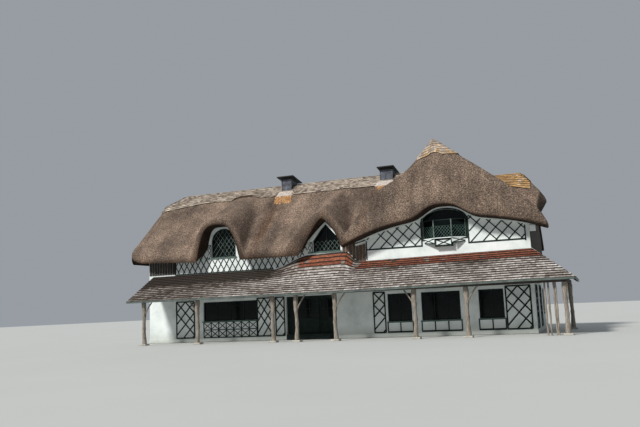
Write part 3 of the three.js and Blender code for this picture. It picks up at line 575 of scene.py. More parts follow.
settle(rear_cap, tan, "ridge_shingle", stands_for=("rear_ridge_cap",))


def hood_ring(out):
    # The corners of a ring round the peak's apex, squared off at the back.
    front_y = HIP_Y - HIP_RUN * out
    left_x, right_x = PEAK_X - 3.1 * out, PEAK_X + 5.3 * out
    return [np.array(p) for p in ((left_x, 4.25), (left_x, front_y), (right_x, front_y),
                                  (right_x, 4.25))]


# Each ring of the peak's hood: how far out its butts lie, and its chance of new ochre wood.
quads, tones = [], []
for out, newer in ((0.25, 0.75), (0.21, 0.5), (0.17, 0.4), (0.13, 0.15), (0.09, 0.0), (0.05, 0.0)):
    low_ring = hood_ring(out)
    high_ring = hood_ring(max(out - 0.075, 0.0))
    for a0, a1, b0, b1 in zip(low_ring, low_ring[1:], high_ring, high_ring[1:]):
        parts = max(int(np.linalg.norm(a1 - a0) / 0.15), 1)
        for k in range(parts):
            t0, t1 = k / parts + 0.003, (k + 1) / parts - 0.003
            spots = (a0 + (a1 - a0) * t0, a0 + (a1 - a0) * t1,
                     b0 + (b1 - b0) * t1, b0 + (b1 - b0) * t0)
            quads.append([(px, py, float(thatch_top(px, py)) + 0.012) for px, py in spots])
            ochre = chance.random() < newer
            tones.append(1.04 + 0.14 * chance.random() if ochre else 0.15 + 0.3 * chance.random())
peak = lay_shingles("peak_cap_shingles", quads, 0.016, [0.024] * len(quads), tones)
settle(peak, tan, "ridge_shingle", stands_for=("peak_cap",))


# Chimney dressings: a lumpy lime mortar saddle in front of each stack, where the cap is
# cut away, and a patch of fresh straw tied in below it.
# Lime mortar, floated on by hand: chalky, matt and lumpy, a warm pale grey.
mortar = mottled("pale_lime_mortar", {"Roughness": 0.92}, (9.0, 6.0, 0.65),
                 [(0.3, "#8f857c"), (0.5, "#b8ada4"), (0.7, "#cfc6bd")], relief=(0.6, 0.02))
# Fresh wheat straw: orange-brown with deep gaps, its stems drawn 50 mm apart so they show.
straw = mottled("fresh_orange_straw", {"Roughness": 0.85}, (4.0, 6.0, 0.7),
                [(0.38, "#5a4029"), (0.5, "#96693f"), (0.6, "#c9a06f")],
                stretch=(5.0, 1.0, 1.0), relief=(0.6, 0.02))
for name, finish, x0, x1, y0, y1 in (("left_mortar_saddle", mortar, -4.74, -3.76, 5.14, 5.56),
                                     ("right_mortar_saddle", mortar, 1.46, 2.46, 5.14, 5.56),
                                     ("left_straw_patch", straw, -4.82, -3.74, 4.6, 5.17),
                                     ("right_straw_patch", straw, 1.52, 2.3, 4.86, 5.17)):
    lift, lump, skew, rag, slot = ((0.035, 0.02, 0.0, 0.06, "stone") if finish is mortar
                                   else (0.004, 0.022, 0.16, 0.22, "thatch"))
    dressing, u, v, low = model_sheet(name, 28, 8)
    x = x0 + (x1 - x0) * u + skew * (1 - v)
    y = y0 + (y1 - y0) * v
    rough = np.array([noise.noise(Vector((a * 6, b * 6, 2.0))) for a, b in zip(x, y)])
    x = x + 0.03 * rough * (np.abs(u - 0.5) > 0.49)
    ragged_foot = np.array([noise.noise(Vector((a * 9, 4.0, 7.0))) for a in x])
    y = y + rag * (ragged_foot + 0.2) * np.maximum(1 - 2.5 * v, 0)
    from_side = np.minimum(np.minimum(u, 1 - u), v + 0.05)
    crown = lift + lump * (0.6 + rough) * np.minimum(1, 6 * from_side)
    lay_sheet(dressing, x, y, thatch_top(x, y) + np.where(low, -0.05, crown))
    settle(dressing, finish, slot)


# Veranda roof: long silvered cleft shingles in fourteen courses 0.22 m apart on dark
# boarding, browned at the top left by damp and by painted shadow of the thatch above, with fresh
# red-brown courses at the head.
FRONT_FACE, RIGHT_FACE = 2.2, 9.9
FRONT_RUN, RETURN_RUN = 2.65, 1.95
LEFT_VERGE, RETURN_END = -11.44, 6.69
FRONT_BUTT, RETURN_BUTT, DECK_LEFT = -0.432, 11.828, -11.43
COURSE, SHINGLE_RUN = 2.63 / 14, 0.25
BOARD_TOP, BOARD_UNDER, SHINGLE_SEAT = 0.05, 0.108, 0.048


def ease(share):
    return share * share * (3 - 2 * share)


def veranda_top(x, y):
    # The lean-to's slope, with the swoop that lifts its head under the pointed dormer.
    t = 1 - np.maximum((FRONT_FACE - y) / FRONT_RUN, (x - RIGHT_FACE) / RETURN_RUN)
    swoop = 0.6 * ease(ramp(x, -3.7, 2.1)) * (1 - ease(ramp(x, 0.5, 0.7)))
    pitch_rise = 1.46 + 0.12 * ramp(x, -3.7, 4.9)
    return 2.42 + 0.1 * ramp(x, 0.5, 9) + pitch_rise * t + swoop * np.maximum(t, 0) ** 4


def return_top(x):
    return 2.52 + 1.58 * (1 - (x - RIGHT_FACE) / RETURN_RUN)


def mitre_x(y, reach=1.94):
    return RIGHT_FACE + (FRONT_FACE - y) / FRONT_RUN * reach


def mitre_y(x):
    return FRONT_FACE - (x - RIGHT_FACE) / RETURN_RUN * FRONT_RUN


# Sawn boarding under a coat of tar: near black, a little brown along the grain.
boards = mottled("tarred_roof_boarding", {"Roughness": 0.8}, (2.4, 6.0),
                 [(0.35, "#241f1c"), (0.65, "#3d342d")], stretch=(1.0, 7.0, 1.0))
under_boards, u, v, low = model_sheet("veranda_boarding", 120, 14)
deck_y = -0.42 + v * 2.615
deck_x = DECK_LEFT + u * (mitre_x(deck_y, 1.93) - DECK_LEFT)
deck_z = veranda_top(deck_x, deck_y) - np.where(low, BOARD_UNDER, BOARD_TOP)
lay_sheet(under_boards, deck_x, deck_y, deck_z)
settle(under_boards, boards, "roof_shingle", stands_for=(
    "veranda_roof_left", "veranda_roof_middle", "veranda_roof_front"))
side_boards, u, v, low = model_sheet("veranda_return_boarding", 12, 30)
side_x = 9.905 + u * 1.92
side_low = mitre_y(side_x)
side_z = return_top(side_x) - np.where(low, BOARD_UNDER, BOARD_TOP)
lay_sheet(side_boards, side_x, side_low + v * (RETURN_END - side_low), side_z)
settle(side_boards, boards, "roof_shingle", stands_for=("veranda_roof_right",))


def front_tone(x, y, number):
    # 0 is brown, 1 silver, and past 2 the red of new wood.
    weather = noise.noise(Vector((x * 0.5, number * 0.24, 5.0)))
    tone = 0.56 + 0.3 * weather + chance.uniform(-0.17, 0.17) - 0.3 * ramp(-x, 4.5, 5)
    # At the left the upper courses are browned by damp and by painted shadow of the thatch above;
    # at the right they are a little darker towards the head.
    if x < -2.6:
        tone -= 0.62 * ramp(y + 0.25 * weather, 0.75, 0.5) * ramp(-x, 2.6, 1.5)
    if x > 0.9:
        tone -= 0.30 * ramp(y, 0.9, 0.5)
    fresh = (y > 1.34 and x > 1.2) or (y > 1.62 and -2.2 < x < 0.95)
    red = 2.05 + 0.55 * ramp(y, 1.3, 0.6) + 0.35 * chance.random()
    if fresh and chance.random() < 0.95:
        return red
    return min(max(min(tone, 0.35) if fresh else tone, 0.0), 1.0)


quads, tones = [], []
for number in range(14):
    butt_y = FRONT_BUTT + number * COURSE
    head_y = min(butt_y + SHINGLE_RUN, 2.19)
    head_end = mitre_x(head_y)
    first = LEFT_VERGE - (0.09 if number % 2 else 0)
    for a, b in split_course(first, LEFT_VERGE, mitre_x(butt_y), 0.19, (0.7, 1.35), 0.003, 0.02):
        foot_y = butt_y + chance.uniform(0.0, 0.018)
        a_head = min(a, head_end)
        b_head = max(min(b, head_end), a_head + 0.01)
        corners = ((a, foot_y), (b, foot_y), (b_head, head_y), (a_head, head_y))
        quads.append([(px, py, float(veranda_top(px, py)) - SHINGLE_SEAT) for px, py in corners])
        tones.append(front_tone(a, butt_y, number))
for number in range(10):
    butt_x = RETURN_BUTT - number * COURSE
    head_x = max(butt_x - SHINGLE_RUN, 9.91)
    low_y, head_low = mitre_y(butt_x), mitre_y(head_x)
    for a, b in split_course(low_y, low_y, RETURN_END, 0.19, (0.7, 1.35), 0.003, 0.02):
        corners = ((butt_x, a), (butt_x, b), (head_x, max(b, head_low + 0.01)),
                   (head_x, max(a, head_low)))
        quads.append([(px, py, return_top(px) - SHINGLE_SEAT) for px, py in corners])
        tones.append(min(max(0.55 + chance.uniform(-0.3, 0.3), 0), 1))
verandah = lay_shingles("veranda_shingles", quads, 0.016, [0.03] * len(quads), tones)
# Cleft oak gone silver: pale grey with a dull sheen, brown where damp and under the painted shadow
# of the thatch, brick red when new.
silver = cleft_shingle(
    "silvered_cleft_shingle", {"Roughness": 0.8, "Specular IOR Level": 0.3}, top_tone=3.0,
    tones=[(0.0, "#423931"), (0.08, "#786d64"), (0.17, "#b0a69f"), (0.28, "#e7e0da"),
           (0.34, "#fff9f4"), (0.66, "#61352b"), (0.82, "#894e39"), (1.0, "#ad6c4f")],
    dirt=(9.0, 6.0, 0.7), dirt_tones=[(0.36, "#544c47"), (0.6, "#ffffff")], dirt_share=0.7,
    # edge is the colour of the dirt and painted shade at the butts and under each lap.
    butt_shade_from=0.95, lap_shade_span=(0.50, 0.30), lap_shade_share=1.0, edge="#29221e",
    grain=70.0, strength=0.25)
settle(verandah, silver, "roof_shingle")


# Painted joinery green: oil paint brushed by hand over softwood, dark and satin, a little
# faded on its faces, its brush marks 18 mm apart. Laths, frames and rails are all in it.
green = new_material("dark_green_weathered_paint", {"Roughness": 0.7, "Specular IOR Level": 0.2})
green_place = add_node(green, "TexCoord").outputs["Object"]
green_tone = tinted_noise(green, green_place, (5.0, 5.0), [(0.3, "#0f1a17"), (0.7, "#1c2c27")])[1]
green_brush = add_node(green, "TexNoise", {"Scale": 55.0, "Detail": 2.0}, {"Vector": green_place})
wire_up(green, green_tone, green_brush, 0.15, 0.003)


# Walls: lime render on masonry, trowelled by hand and limewashed: chalk white with a cool
# cast, faintly greyer towards the foot, its trowel marks 70 mm apart. The CAD solids
# have the right form and keep their place.
lime = new_material("white_limewashed_render", {"Roughness": 0.92, "Specular IOR Level": 0.25})
lime_place = add_node(lime, "TexCoord").outputs["Object"]
lime_tone = tinted_noise(lime, lime_place, (1.1, 6.0, 0.6), [
    (0.28, "#c6cfcd"), (0.5, "#dfe6e4"), (0.72, "#ecf0ee")])[1]
lime_spread = add_node(lime, "SeparateXYZ", {}, {"Vector": lime_place})
lime_foot = add_node(lime, "MapRange", {
    "From Min": 0.0, "From Max": 0.7, "To Min": 0.75, "To Max": 0.0},
    {"Value": lime_spread.outputs["Z"]})
lime_base = add_node(lime, "Mix", {"data_type": "RGBA", 7: linear("#a9aca2")},
                     {0: lime_foot, 6: lime_tone})
lime_trowel = add_node(lime, "TexNoise", {"Scale": 14.0, "Detail": 5.0}, {"Vector": lime_place})
wire_up(lime, lime_base, lime_trowel, 0.25, 0.01)
finish_nodes(lime, "front_wall", "wall_over_door", "wall_beside_door", "gable_wall", "back_wall",
             "left_wall", "right_wall")


# Lattice: sawn laths nailed to the render in diamonds and painted dark green, with a rail
# or a stile where each panel ends. One lath is modelled, its face narrowed by a chamfer,
# and copied along each line.
BACK_FACE, LEFT_FACE, BAY_FACE = 9.8, -11.75, 1.83
PANEL_FOOT, PANEL_TOP, BAND_FOOT, GABLE_FOOT = 0.26, 2.3, 3.86, 4.56

lath = model_block("lath", (0.5, 0, 0.5))
pick("FACE", lath.data.polygons, lambda face: face.normal.z > 0.9)
bpy.ops.transform.resize(value=(1, 0.78, 1), center_override=(0.5, 0, 1))
lath_points, lath_faces = take_form(lath)

# Where a length, a height and a distance off the face lie, for each painted face. The bay's
# left face is canted by 31.7 degrees and its right one by 30.
FACES = {
    "front": lambda a, b, d: (a, FRONT_FACE - d, b),
    "back": lambda a, b, d: (a, BACK_FACE + d, b),
    "left": lambda a, b, d: (LEFT_FACE - d, a, b),
    "right": lambda a, b, d: (RIGHT_FACE + d, a, b),
    "eave": lambda a, b, d: (a, -0.43 - d, b),
    "return_eave": lambda a, b, d: (RETURN_BUTT + d, a, b),
    "bay_left": lambda a, b, d: (4.72 + 0.851 * a - 0.525 * d,
                                 FRONT_FACE - 0.525 * a - 0.851 * d, b),
    "bay_front": lambda a, b, d: (5.32 + a, BAY_FACE - d, b),
    "bay_right": lambda a, b, d: (6.22 + 0.866 * a + 0.5 * d, BAY_FACE + 0.5 * a - 0.866 * d, b),
    "apron": lambda a, b, d: (a, 1.925 - d, b),
}


def nail_laths(name, laths, wall):
    # Each lath: start and end on the wall, width, and its two distances from the wall face.
    points, faces = [], []
    place = FACES[wall] if isinstance(wall, str) else wall
    for (a0, b0), (a1, b1), width, d0, d1 in laths:
        length = math.hypot(a1 - a0, b1 - b0)
        if length < 0.02:
            continue
        ca, sa = (a1 - a0) / length, (b1 - b0) / length
        start = len(points)
        for u, v, w in lath_points:
            way, off = u * length, v * width
            points.append(place(a0 + ca * way - sa * off, b0 + sa * way + ca * off,
                                d0 + (d1 - d0) * w))
        faces += [[i + start for i in face] for face in lath_faces]
    piece = build_piece(name, points, faces)
    bpy.ops.object.select_all(action="DESELECT")
    bpy.context.view_layer.objects.active = piece
    piece.select_set(True)
    face_outwards()
    return piece


def fix_laths(name, laths, wall, finish, slot="joinery", body="house"):
    settle(nail_laths(name, laths, wall), finish, slot, body=body)


def cut(width, d0, d1, *lines):
    # Laths of one width and depth along lines from (a0, b0) to (a1, b1).
    return [((a0, b0), (a1, b1), width, d0, d1) for a0, b0, a1, b1 in lines]


def diamonds(a0, a1, b0, b1, wide, tall, width, d0, d1, inside=None, start=0.0):
    # Two families of slanting laths over a panel, each cut where inside() ends.
    laths = []
    run = (b1 - b0) * wide / tall
    steps = 240
    for family in (1, -1):
        for k in range(-1, int((a1 - a0 + run) / wide) + 3):
            foot = a0 + start - (run if family > 0 else 0) + k * wide
            open_at = None
            for i in range(steps + 1):
                t = i / steps
                a = foot + (run * t if family > 0 else run * (1 - t))
                b = b0 + (b1 - b0) * t
                ok = a0 <= a <= a1 and (inside is None or inside(a, b))
                if ok and open_at is None:
                    open_at = (a, b)
                if open_at is not None and (not ok or i == steps):
                    end = (a, b) if ok else last
                    proud = 0.0015 if family > 0 else 0.0
                    if math.hypot(end[0] - open_at[0], end[1] - open_at[1]) > 0.06:
                        laths.append((open_at, end, width, d0, d1 + proud))
                    open_at = None
                last = (a, b)
    return laths


def clear_of_roof(a, b):
    return b < float(thatch_under(a, 2.16)) - (0.02 if a > 1.0 else 0.01)


def band_shape(a, b):
    under_sill = not (-7.8 < a < -5.75 and b > 4.6) and not (a > -1.66 and b > 4.52)
    return under_sill and clear_of_roof(a, b) and b > float(veranda_top(a, 2.18)) + 0.01


def strip(a0, a1, wide, width):
    # A strip of diamonds as high as the ground floor, between its stiles and rails.
    b0, b1 = PANEL_FOOT, PANEL_TOP
    return (diamonds(a0, a1, b0, b1, wide, 0.63, width, 0.0, 0.024)
            + cut(0.07, 0.0, 0.028, (a0, b0, a0, b1), (a1, b0, a1, b1))
            + cut(0.07, 0.0, 0.027, (a0, b0, a1, b0), (a0, b1, a1, b1)))


band = diamonds(-9.93, -1.2, 3.7, 4.95, 0.37, 0.62, 0.052, 0.0, 0.022, band_shape)
band += cut(0.09, 0.0, 0.03, (-9.95, BAND_FOOT, -9.95, 4.95))
band += cut(0.06, 0.0, 0.026, (-9.93, 3.872, -3.7, 3.872))
fix_laths("upper_band_lattice", band, "front", green)

gable = []
for a0, a1, start in ((1.72, 4.6, 0.15), (7.02, 9.66, 0.1)):
    gable += diamonds(a0, a1, GABLE_FOOT, 6.4, 0.6, 0.6, 0.058, 0.0, 0.022, clear_of_roof, start)
gable += cut(0.075, 0.0, 0.03, (1.66, 4.53, 4.6, 4.53), (7.0, 4.53, 9.7, 4.53))
gable += cut(0.07, 0.0, 0.03, (1.67, 4.02, 1.67, 4.98))
gable += cut(0.06, 0.0, 0.03, (9.69, 4.45, 9.69, 5.2))
gable += cut(0.07, 0.0, 0.035, (4.62, 4.5, 4.62, 5.74), (6.98, 4.5, 6.98, 5.86))
fix_laths("gable_lattice", gable, "front", green)

cheeks = []
for a0, a1, b0, b1, wide, rail, rail_a, stile, stile_b in (
        (-7.79, -7.58, 4.68, 5.42, 0.2, 5.43, (-7.84, -7.56), -7.58, (4.66, 5.45)),
        (-1.62, -1.37, 4.6, 5.14, 0.22, 5.13, (-1.62, -1.36), -1.37, (4.58, 5.16))):
    cheeks += diamonds(a0, a1, b0, b1, wide, 0.28, 0.03, 0.0, 0.02, clear_of_roof)
    cheeks += cut(0.05, 0.0, 0.028, (rail_a[0], rail, rail_a[1], rail))
    cheeks += cut(0.04, 0.0, 0.026, (stile, stile_b[0], stile, stile_b[1]))
fix_laths("dormer_cheek_lattice", cheeks, "front", green)

ground = []
for a0, a1 in ((-9.92, -8.75), (-4.76, -3.92), (-3.66, -3.14), (1.9, 2.5), (8.55, 9.7)):
    ground += strip(a0, a1, (a1 - a0) / max(round((a1 - a0) / 0.55), 1), 0.07)
fix_laths("ground_floor_lattice", ground, "front", green)

dado = []
BAY = 0.476
for k in range(7):
    a0 = -8.14 + k * BAY
    for b0, b1 in ((0.27, 0.64), (0.7, 1.08)):
        dado += cut(0.04, 0.0, 0.022, (a0, b0, a0 + BAY, b1))
        dado += cut(0.04, 0.0, 0.0235, (a0, b1, a0 + BAY, b0))
dado += cut(0.05, 0.0, 0.026, *[(-8.14 + k * BAY, 0.25, -8.14 + k * BAY, 1.12) for k in range(8)])
dado += cut(0.05, 0.0, 0.028, *[(-8.16, b0, -4.79, b0) for b0 in (0.25, 0.67, 1.1)])
for x0, x1, stiles in ((2.6, 3.95, (2.62, 3.28, 3.93)), (4.36, 6.4, (4.38, 5.05, 5.72, 6.38)),
                       (7.2, 8.5, (7.22, 7.86, 8.48))):
    dado += cut(0.06, 0.0, 0.03, (x0, 0.76, x1, 0.76)) + cut(0.08, 0.0, 0.03, (x0, 0.27, x1, 0.27))
    dado += cut(0.06, 0.0, 0.027, *[(s, 0.27, s, 0.76) for s in stiles])
fix_laths("dado_panels", dado, "front", green)

# The hidden sides repeat the ground floor strips beside the windows and at the corners.
for wall, strips, top_rail in (
        ("back", ((-11.3, -10.2), (-5.4, -4.4), (-3.4, -2.4), (1.4, 2.4), (8.4, 9.5)),
         (-11.6, 9.75)),
        ("left", ((2.7, 3.7), (8.3, 9.3)), (2.4, 9.6)),
        ("right", ((2.7, 3.8), (5.2, 6.3)), None)):
    panels = []
    for a0, a1 in strips:
        panels += strip(a0, a1, (a1 - a0) / 2, 0.06)
    if top_rail:
        a0, a1 = top_rail
        panels += diamonds(a0, a1, BAND_FOOT, 4.46, 0.37, 0.62, 0.042, 0.0, 0.022)
        panels += cut(0.05, 0.0, 0.026, (a0, BAND_FOOT, a1, BAND_FOOT), (a0, 4.46, a1, 4.46))
    fix_laths(wall + "_wall_lattice", panels, wall, green)


# White painted boards: an arched soffit board under the wing's thatch with boxed ends, and
# raking boards over the pointed dormer. Planed softwood in old oil paint gives a soft,
# slightly chalky white with a cool cast.
white = mottled("chalky_white_paint", {"Roughness": 0.6}, (4.0, 5.0),
                [(0.3, "#cfdcd9"), (0.7, "#eaf1ee")])
soffit_board, u, v, low = model_sheet("arched_soffit_board", 96, 2)
board_x = 1.08 + 9.1 * u
board_z = thatch_under(board_x, np.full_like(board_x, 2.1)) - np.where(low, 0.058, -0.01)
lay_sheet(soffit_board, board_x, 2.08 + 0.12 * v, board_z)
settle(soffit_board, white, "joinery")
rakes = cut(0.1, 0.0, 0.12, (-1.64, 5.11, -0.55, 6.13), (-0.53, 6.13, 0.34, 5.16))
rakes += cut(0.08, 0.0, 0.12, (-1.70, 5.12, -1.5, 5.12))
rakes += cut(0.29, 0.0, 0.24, (10.05, 4.86, 10.05, 5.14))
rakes += cut(0.1, 0.0, 0.2, (1.12, 4.81, 1.66, 4.94))
fix_laths("white_dormer_and_end_boards", rakes, "front", white)


# Boarding under the eaves, as painted shade: near-black upright boards stand for the deep shade in
# the recess at the left and on the right wall, and brown ones for the shade in the corner beside
# the gable wall, nailed edge to edge.
# Brown boards for the painted shade: mid brown and matt, streaked along the board.
corner_shade_brown = mottled("brown_boards_painted_shade", {"Roughness": 0.75}, (3.0, 6.0),
                [(0.3, "#3d3026"), (0.7, "#655040")], stretch=(6.0, 6.0, 0.8))


def upright_boards(name, wall, ends, width, finish):
    # ends gives each board's place along the wall, its foot and its head.
    fix_laths(name, cut(width, 0.0, 0.024, *[(a, foot, a, top) for a, foot, top in ends]),
              wall, finish)


BOARD_WIDTH, BOARD_STEP = 0.168, 0.175
# Painted shade: near-black boards fill the recess at the left, where the eave leaves deep shade.
upright_boards("recess_painted_shade_boards", "front", [
    (x, 3.9, 4.72) for x in np.arange(-11.65, -9.99, BOARD_STEP)], BOARD_WIDTH, boards)
# Painted shade: brown boards in the corner under the thatch, beside the gable wall.
upright_boards("corner_painted_shade_boards", "front", [
    (x, float(veranda_top(x, 2.18)) - 0.02, float(thatch_under(x, 2.17)) - 0.03)
    for x in np.arange(0.42, 1.6, 0.185)], 0.178, corner_shade_brown)
# Painted shade: near-black boards on the right wall under the wing's eave, where it lies in shade.
upright_boards("gable_side_painted_shade_boards", "right", [
    (y, 4.13, float(thatch_under(9.91, y)) - 0.03) for y in np.arange(2.29, 9.75, BOARD_STEP)],
    BOARD_WIDTH, boards)


# Plinth: a rendered course round the foot of the walls, a little proud of them and greyer
# like the foot of the render. It stops on either side of the door and its screen.
for wall, runs in (("front", ((-11.78, -3.06), (-0.13, 9.93))), ("back", ((-11.78, 9.93),)),
                   ("left", ((2.17, 9.83),)), ("right", ((2.17, 9.83),))):
    plinth = cut(0.22, 0.0, 0.032, *[(a0, 0.115, a1, 0.115) for a0, a1 in runs])
    fix_laths(wall + "_plinth", plinth, wall, lime, slot="render")


# Eave boards: a painted fascia along the veranda's front and its return, and sawn rafters
# between it and the walls. Satin oil paint on planed softwood, a dull grey-green.
gutter = mottled("grey_green_fascia_paint", {"Roughness": 0.5}, (3.0, 5.0),
                 [(0.3, "#3b4440"), (0.7, "#606a65")])
fascia = cut(0.1, 0.0, 0.018, (LEFT_VERGE, 2.362, 0.5, 2.362), (0.5, 2.362, 9.5, 2.462),
             (9.5, 2.462, 11.8, 2.462))
fix_laths("veranda_fascia", fascia, "eave", gutter)
fix_laths("veranda_return_fascia", cut(0.1, 0.0, 0.018, (-0.4, 2.462, RETURN_END, 2.462)),
          "return_eave", gutter)


def join_pieces(name, pieces):
    bpy.ops.object.select_all(action="DESELECT")
    for piece in pieces:
        piece.select_set(True)
    bpy.context.view_layer.objects.active = pieces[0]
    bpy.ops.object.join()
    pieces[0].name = name
    return pieces[0]


RAFTER, RAFTER_AXIS, RAFTER_STEP = 0.05, 0.132, 0.62
rafters = []
for x in np.arange(-11.1, 9.8, RAFTER_STEP):
    run = [(y, float(veranda_top(x, y)) - RAFTER_AXIS) for y in (-0.38, 0.6, 1.2, 1.6, 1.9, 2.19)]
    bars = [(start, end, RAFTER, 0.0, RAFTER) for start, end in zip(run, run[1:])]
    rafters.append(nail_laths("rafter", bars, lambda a, b, d, x=x: (x + d, a, b)))
for y in np.arange(2.6, 6.6, RAFTER_STEP):
    start, end = [(x, return_top(x) - RAFTER_AXIS) for x in (9.93, 11.78)]
    rafters.append(nail_laths("rafter", [(start, end, RAFTER, 0.0, RAFTER)],
                              lambda a, b, d, y=y: (a, y + d, b)))
settle(join_pieces("veranda_rafters", rafters), boards, "bark_timber")


# Windows: painted softwood frames with upright mullions, old glass painted near black as the
# shade of the rooms behind, and slender diamond bars over it. Each unit stands 60 mm back in its
# opening.
def window_outline(x0, x1, z0, z1, head_kind, rise, margin):
    x0, x1, z0, z1 = x0 - margin, x1 + margin, z0 - margin, z1 + margin
    if head_kind == "flat":
        return [(x0, z0), (x1, z0), (x1, z1), (x0, z1)]
    spring = max(z1 - margin - rise, z0 + 0.04)
    points = [(x0, z0), (x1, z0)]
    steps = 20 if head_kind == "round" else 12
    for i in range(steps + 1):
        c = math.cos(math.pi * i / steps)
        lift = math.sin(math.pi * i / steps) if head_kind == "round" else 1 - abs(c) ** 1.15
        points.append(((x0 + x1) / 2 + (x1 - x0) / 2 * c, spring + (z1 - spring) * lift))
    return points


def model_plate(name, outline, wall, near, far, rail=0):
    # A sheet of that outline; with a rail width its middle is taken out and a frame is left.
    bpy.ops.object.select_all(action="DESELECT")
    bpy.ops.mesh.primitive_circle_add(vertices=len(outline), fill_type="NGON")
    piece = bpy.context.object
    piece.name = name
    for vertex, (a, b) in zip(piece.data.vertices, outline):
        vertex.co = FACES[wall](a, b, -(near + far) / 2)
    bpy.ops.object.mode_set(mode="EDIT")
    bpy.ops.mesh.select_mode(type="FACE")
    bpy.ops.mesh.select_all(action="SELECT")
    if rail > 0:
        bpy.ops.mesh.inset(thickness=rail, use_even_offset=True)
        bpy.ops.mesh.delete(type="FACE")
    bpy.ops.object.mode_set(mode="OBJECT")
    thick = piece.modifiers.new("thickness", "SOLIDIFY")
    thick.thickness = far - near
    thick.offset = 0
    bpy.ops.object.modifier_apply(modifier="thickness")
    bpy.ops.object.mode_set(mode="EDIT")
    bpy.ops.mesh.select_all(action="SELECT")
    bpy.ops.mesh.remove_doubles(threshold=0.0002)
    face_outwards()
    return piece


# Old crown glass: glossy, with a slow wave in what it reflects, and near black, which is painted
# shade for the dark rooms behind it.
glass = mottled("crown_glass_painted_dark", {"Roughness": 0.12, "IOR": 1.5, "Specular IOR Level": 0.15},
                (2.2, 2.0), [(0.35, "#030606"), (0.7, "#0b1213")], relief=(0.12, 0.01))
# Glazing bars: thin satin paint over lead, a pale grey-green.
came = mottled("grey_green_glazing_bar", {"Roughness": 0.5}, (8.0, 3.0),
               [(0.3, "#3f5049"), (0.7, "#66776f")])
# Sill paint: a fresher coat than the rest, mid green with a soft gloss.
sill_paint = mottled("mid_green_sill_paint", {"Roughness": 0.45}, (6.0, 4.0),
                     [(0.3, "#355048"), (0.7, "#4b675d")])

# name, wall, x0, x1, z0, z1, head, its rise, mullions, diamond width, height and top
WINDOWS = [
    ("round_dormer_window", "front", -7.55, -6.0, 4.7, 6.33, "round", 0.75,
     (-6.775,), 0.27, 0.36, 6.33),
    ("pointed_dormer_window", "front", -1.32, 0.23, 4.62, 6.12, "point", 0.9,
     (-0.545,), 0.24, 0.3, 5.2),
    ("gable_window", "front", 4.68, 6.92, 4.82, 6.3, "round", 0.55, (5.3, 6.24), 0.15, 0.17, 5.62),
    ("long_window", "front", -8.15, -4.8, 1.15, 2.22, "flat", 0, (-7.31, -6.475, -5.64), 0, 0, 0),
    ("ground_window_1", "front", 2.65, 3.9, 0.8, 2.2, "flat", 0, (3.275,), 0, 0, 0),
    ("ground_window_2", "front", 4.4, 6.35, 0.8, 2.2, "flat", 0, (5.05, 5.7), 0, 0, 0),
    ("ground_window_3", "front", 7.25, 8.45, 0.8, 2.2, "flat", 0, (7.85,), 0, 0, 0),
    ("back_window_1", "back", -8.0, -6.0, 0.9, 2.2, "flat", 0, (-7.0,), 0.25, 0.33, 2.2),
    ("back_window_2", "back", 4.0, 6.0, 0.9, 2.2, "flat", 0, (5.0,), 0.25, 0.33, 2.2),
    ("left_window", "left", 5.1, 6.9, 0.9, 2.2, "flat", 0, (6.0,), 0.25, 0.33, 2.2),
    ("right_window", "right", 7.4, 8.8, 0.9, 2.2, "flat", 0, (8.1,), 0.25, 0.33, 2.2),
]


def in_outline(outline, a, b):
    hit = False
    for (a0, b0), (a1, b1) in zip(outline, outline[1:] + outline[:1]):
        if (b0 > b) != (b1 > b) and a < a0 + (b - b0) / (b1 - b0) * (a1 - a0):
            hit = not hit
    return hit


sills = {"front": [], "back": [], "left": [], "right": []}
for name, wall, x0, x1, z0, z1, head_kind, rise, uprights, wide, tall, bars_top in WINDOWS:
    opening = (x0, x1, z0, z1, head_kind, rise)
    outer = window_outline(*opening, -0.002)
    settle(model_plate(name + "_frame", outer, wall, 0.06, 0.148, 0.06), green, "joinery",
           stands_for=(name,))
    settle(model_plate(name + "_glass", window_outline(*opening, -0.055), wall, 0.098, 0.104),
           glass, "joinery")
    bars = []
    for bar in uprights:
        top = max(b for b in np.linspace(z0 + 0.05, z1, 200) if in_outline(outer, bar, b))
        bars += cut(0.05, -0.13, -0.075, (bar, z0 + 0.03, bar, top - 0.01))
    fix_laths(name + "_mullions", bars, wall, green)
    if name == "gable_window":
        surround = window_outline(*opening, 0.06)
        settle(model_plate(name + "_surround", surround, wall, -0.026, 0.0, 0.06), green, "joinery")
    else:
        left_end = x0 - (0.3 if "dormer" in name else 0.06)
        sills[wall] += cut(0.07, -0.06, 0.06, (left_end, z0 - 0.035, x1 + 0.06, z0 - 0.035))
    if wide:
        inner = window_outline(*opening, -0.06)
        rods = diamonds(x0, x1, z0, bars_top, wide, tall, 0.02, -0.098, -0.088,
                        lambda a, b: in_outline(inner, a, b))
        fix_laths(name + "_diamond_bars", rods, wall, came)
for wall, wall_sills in sills.items():
    fix_laths("window_sills_" + wall, wall_sills, wall, sill_paint)


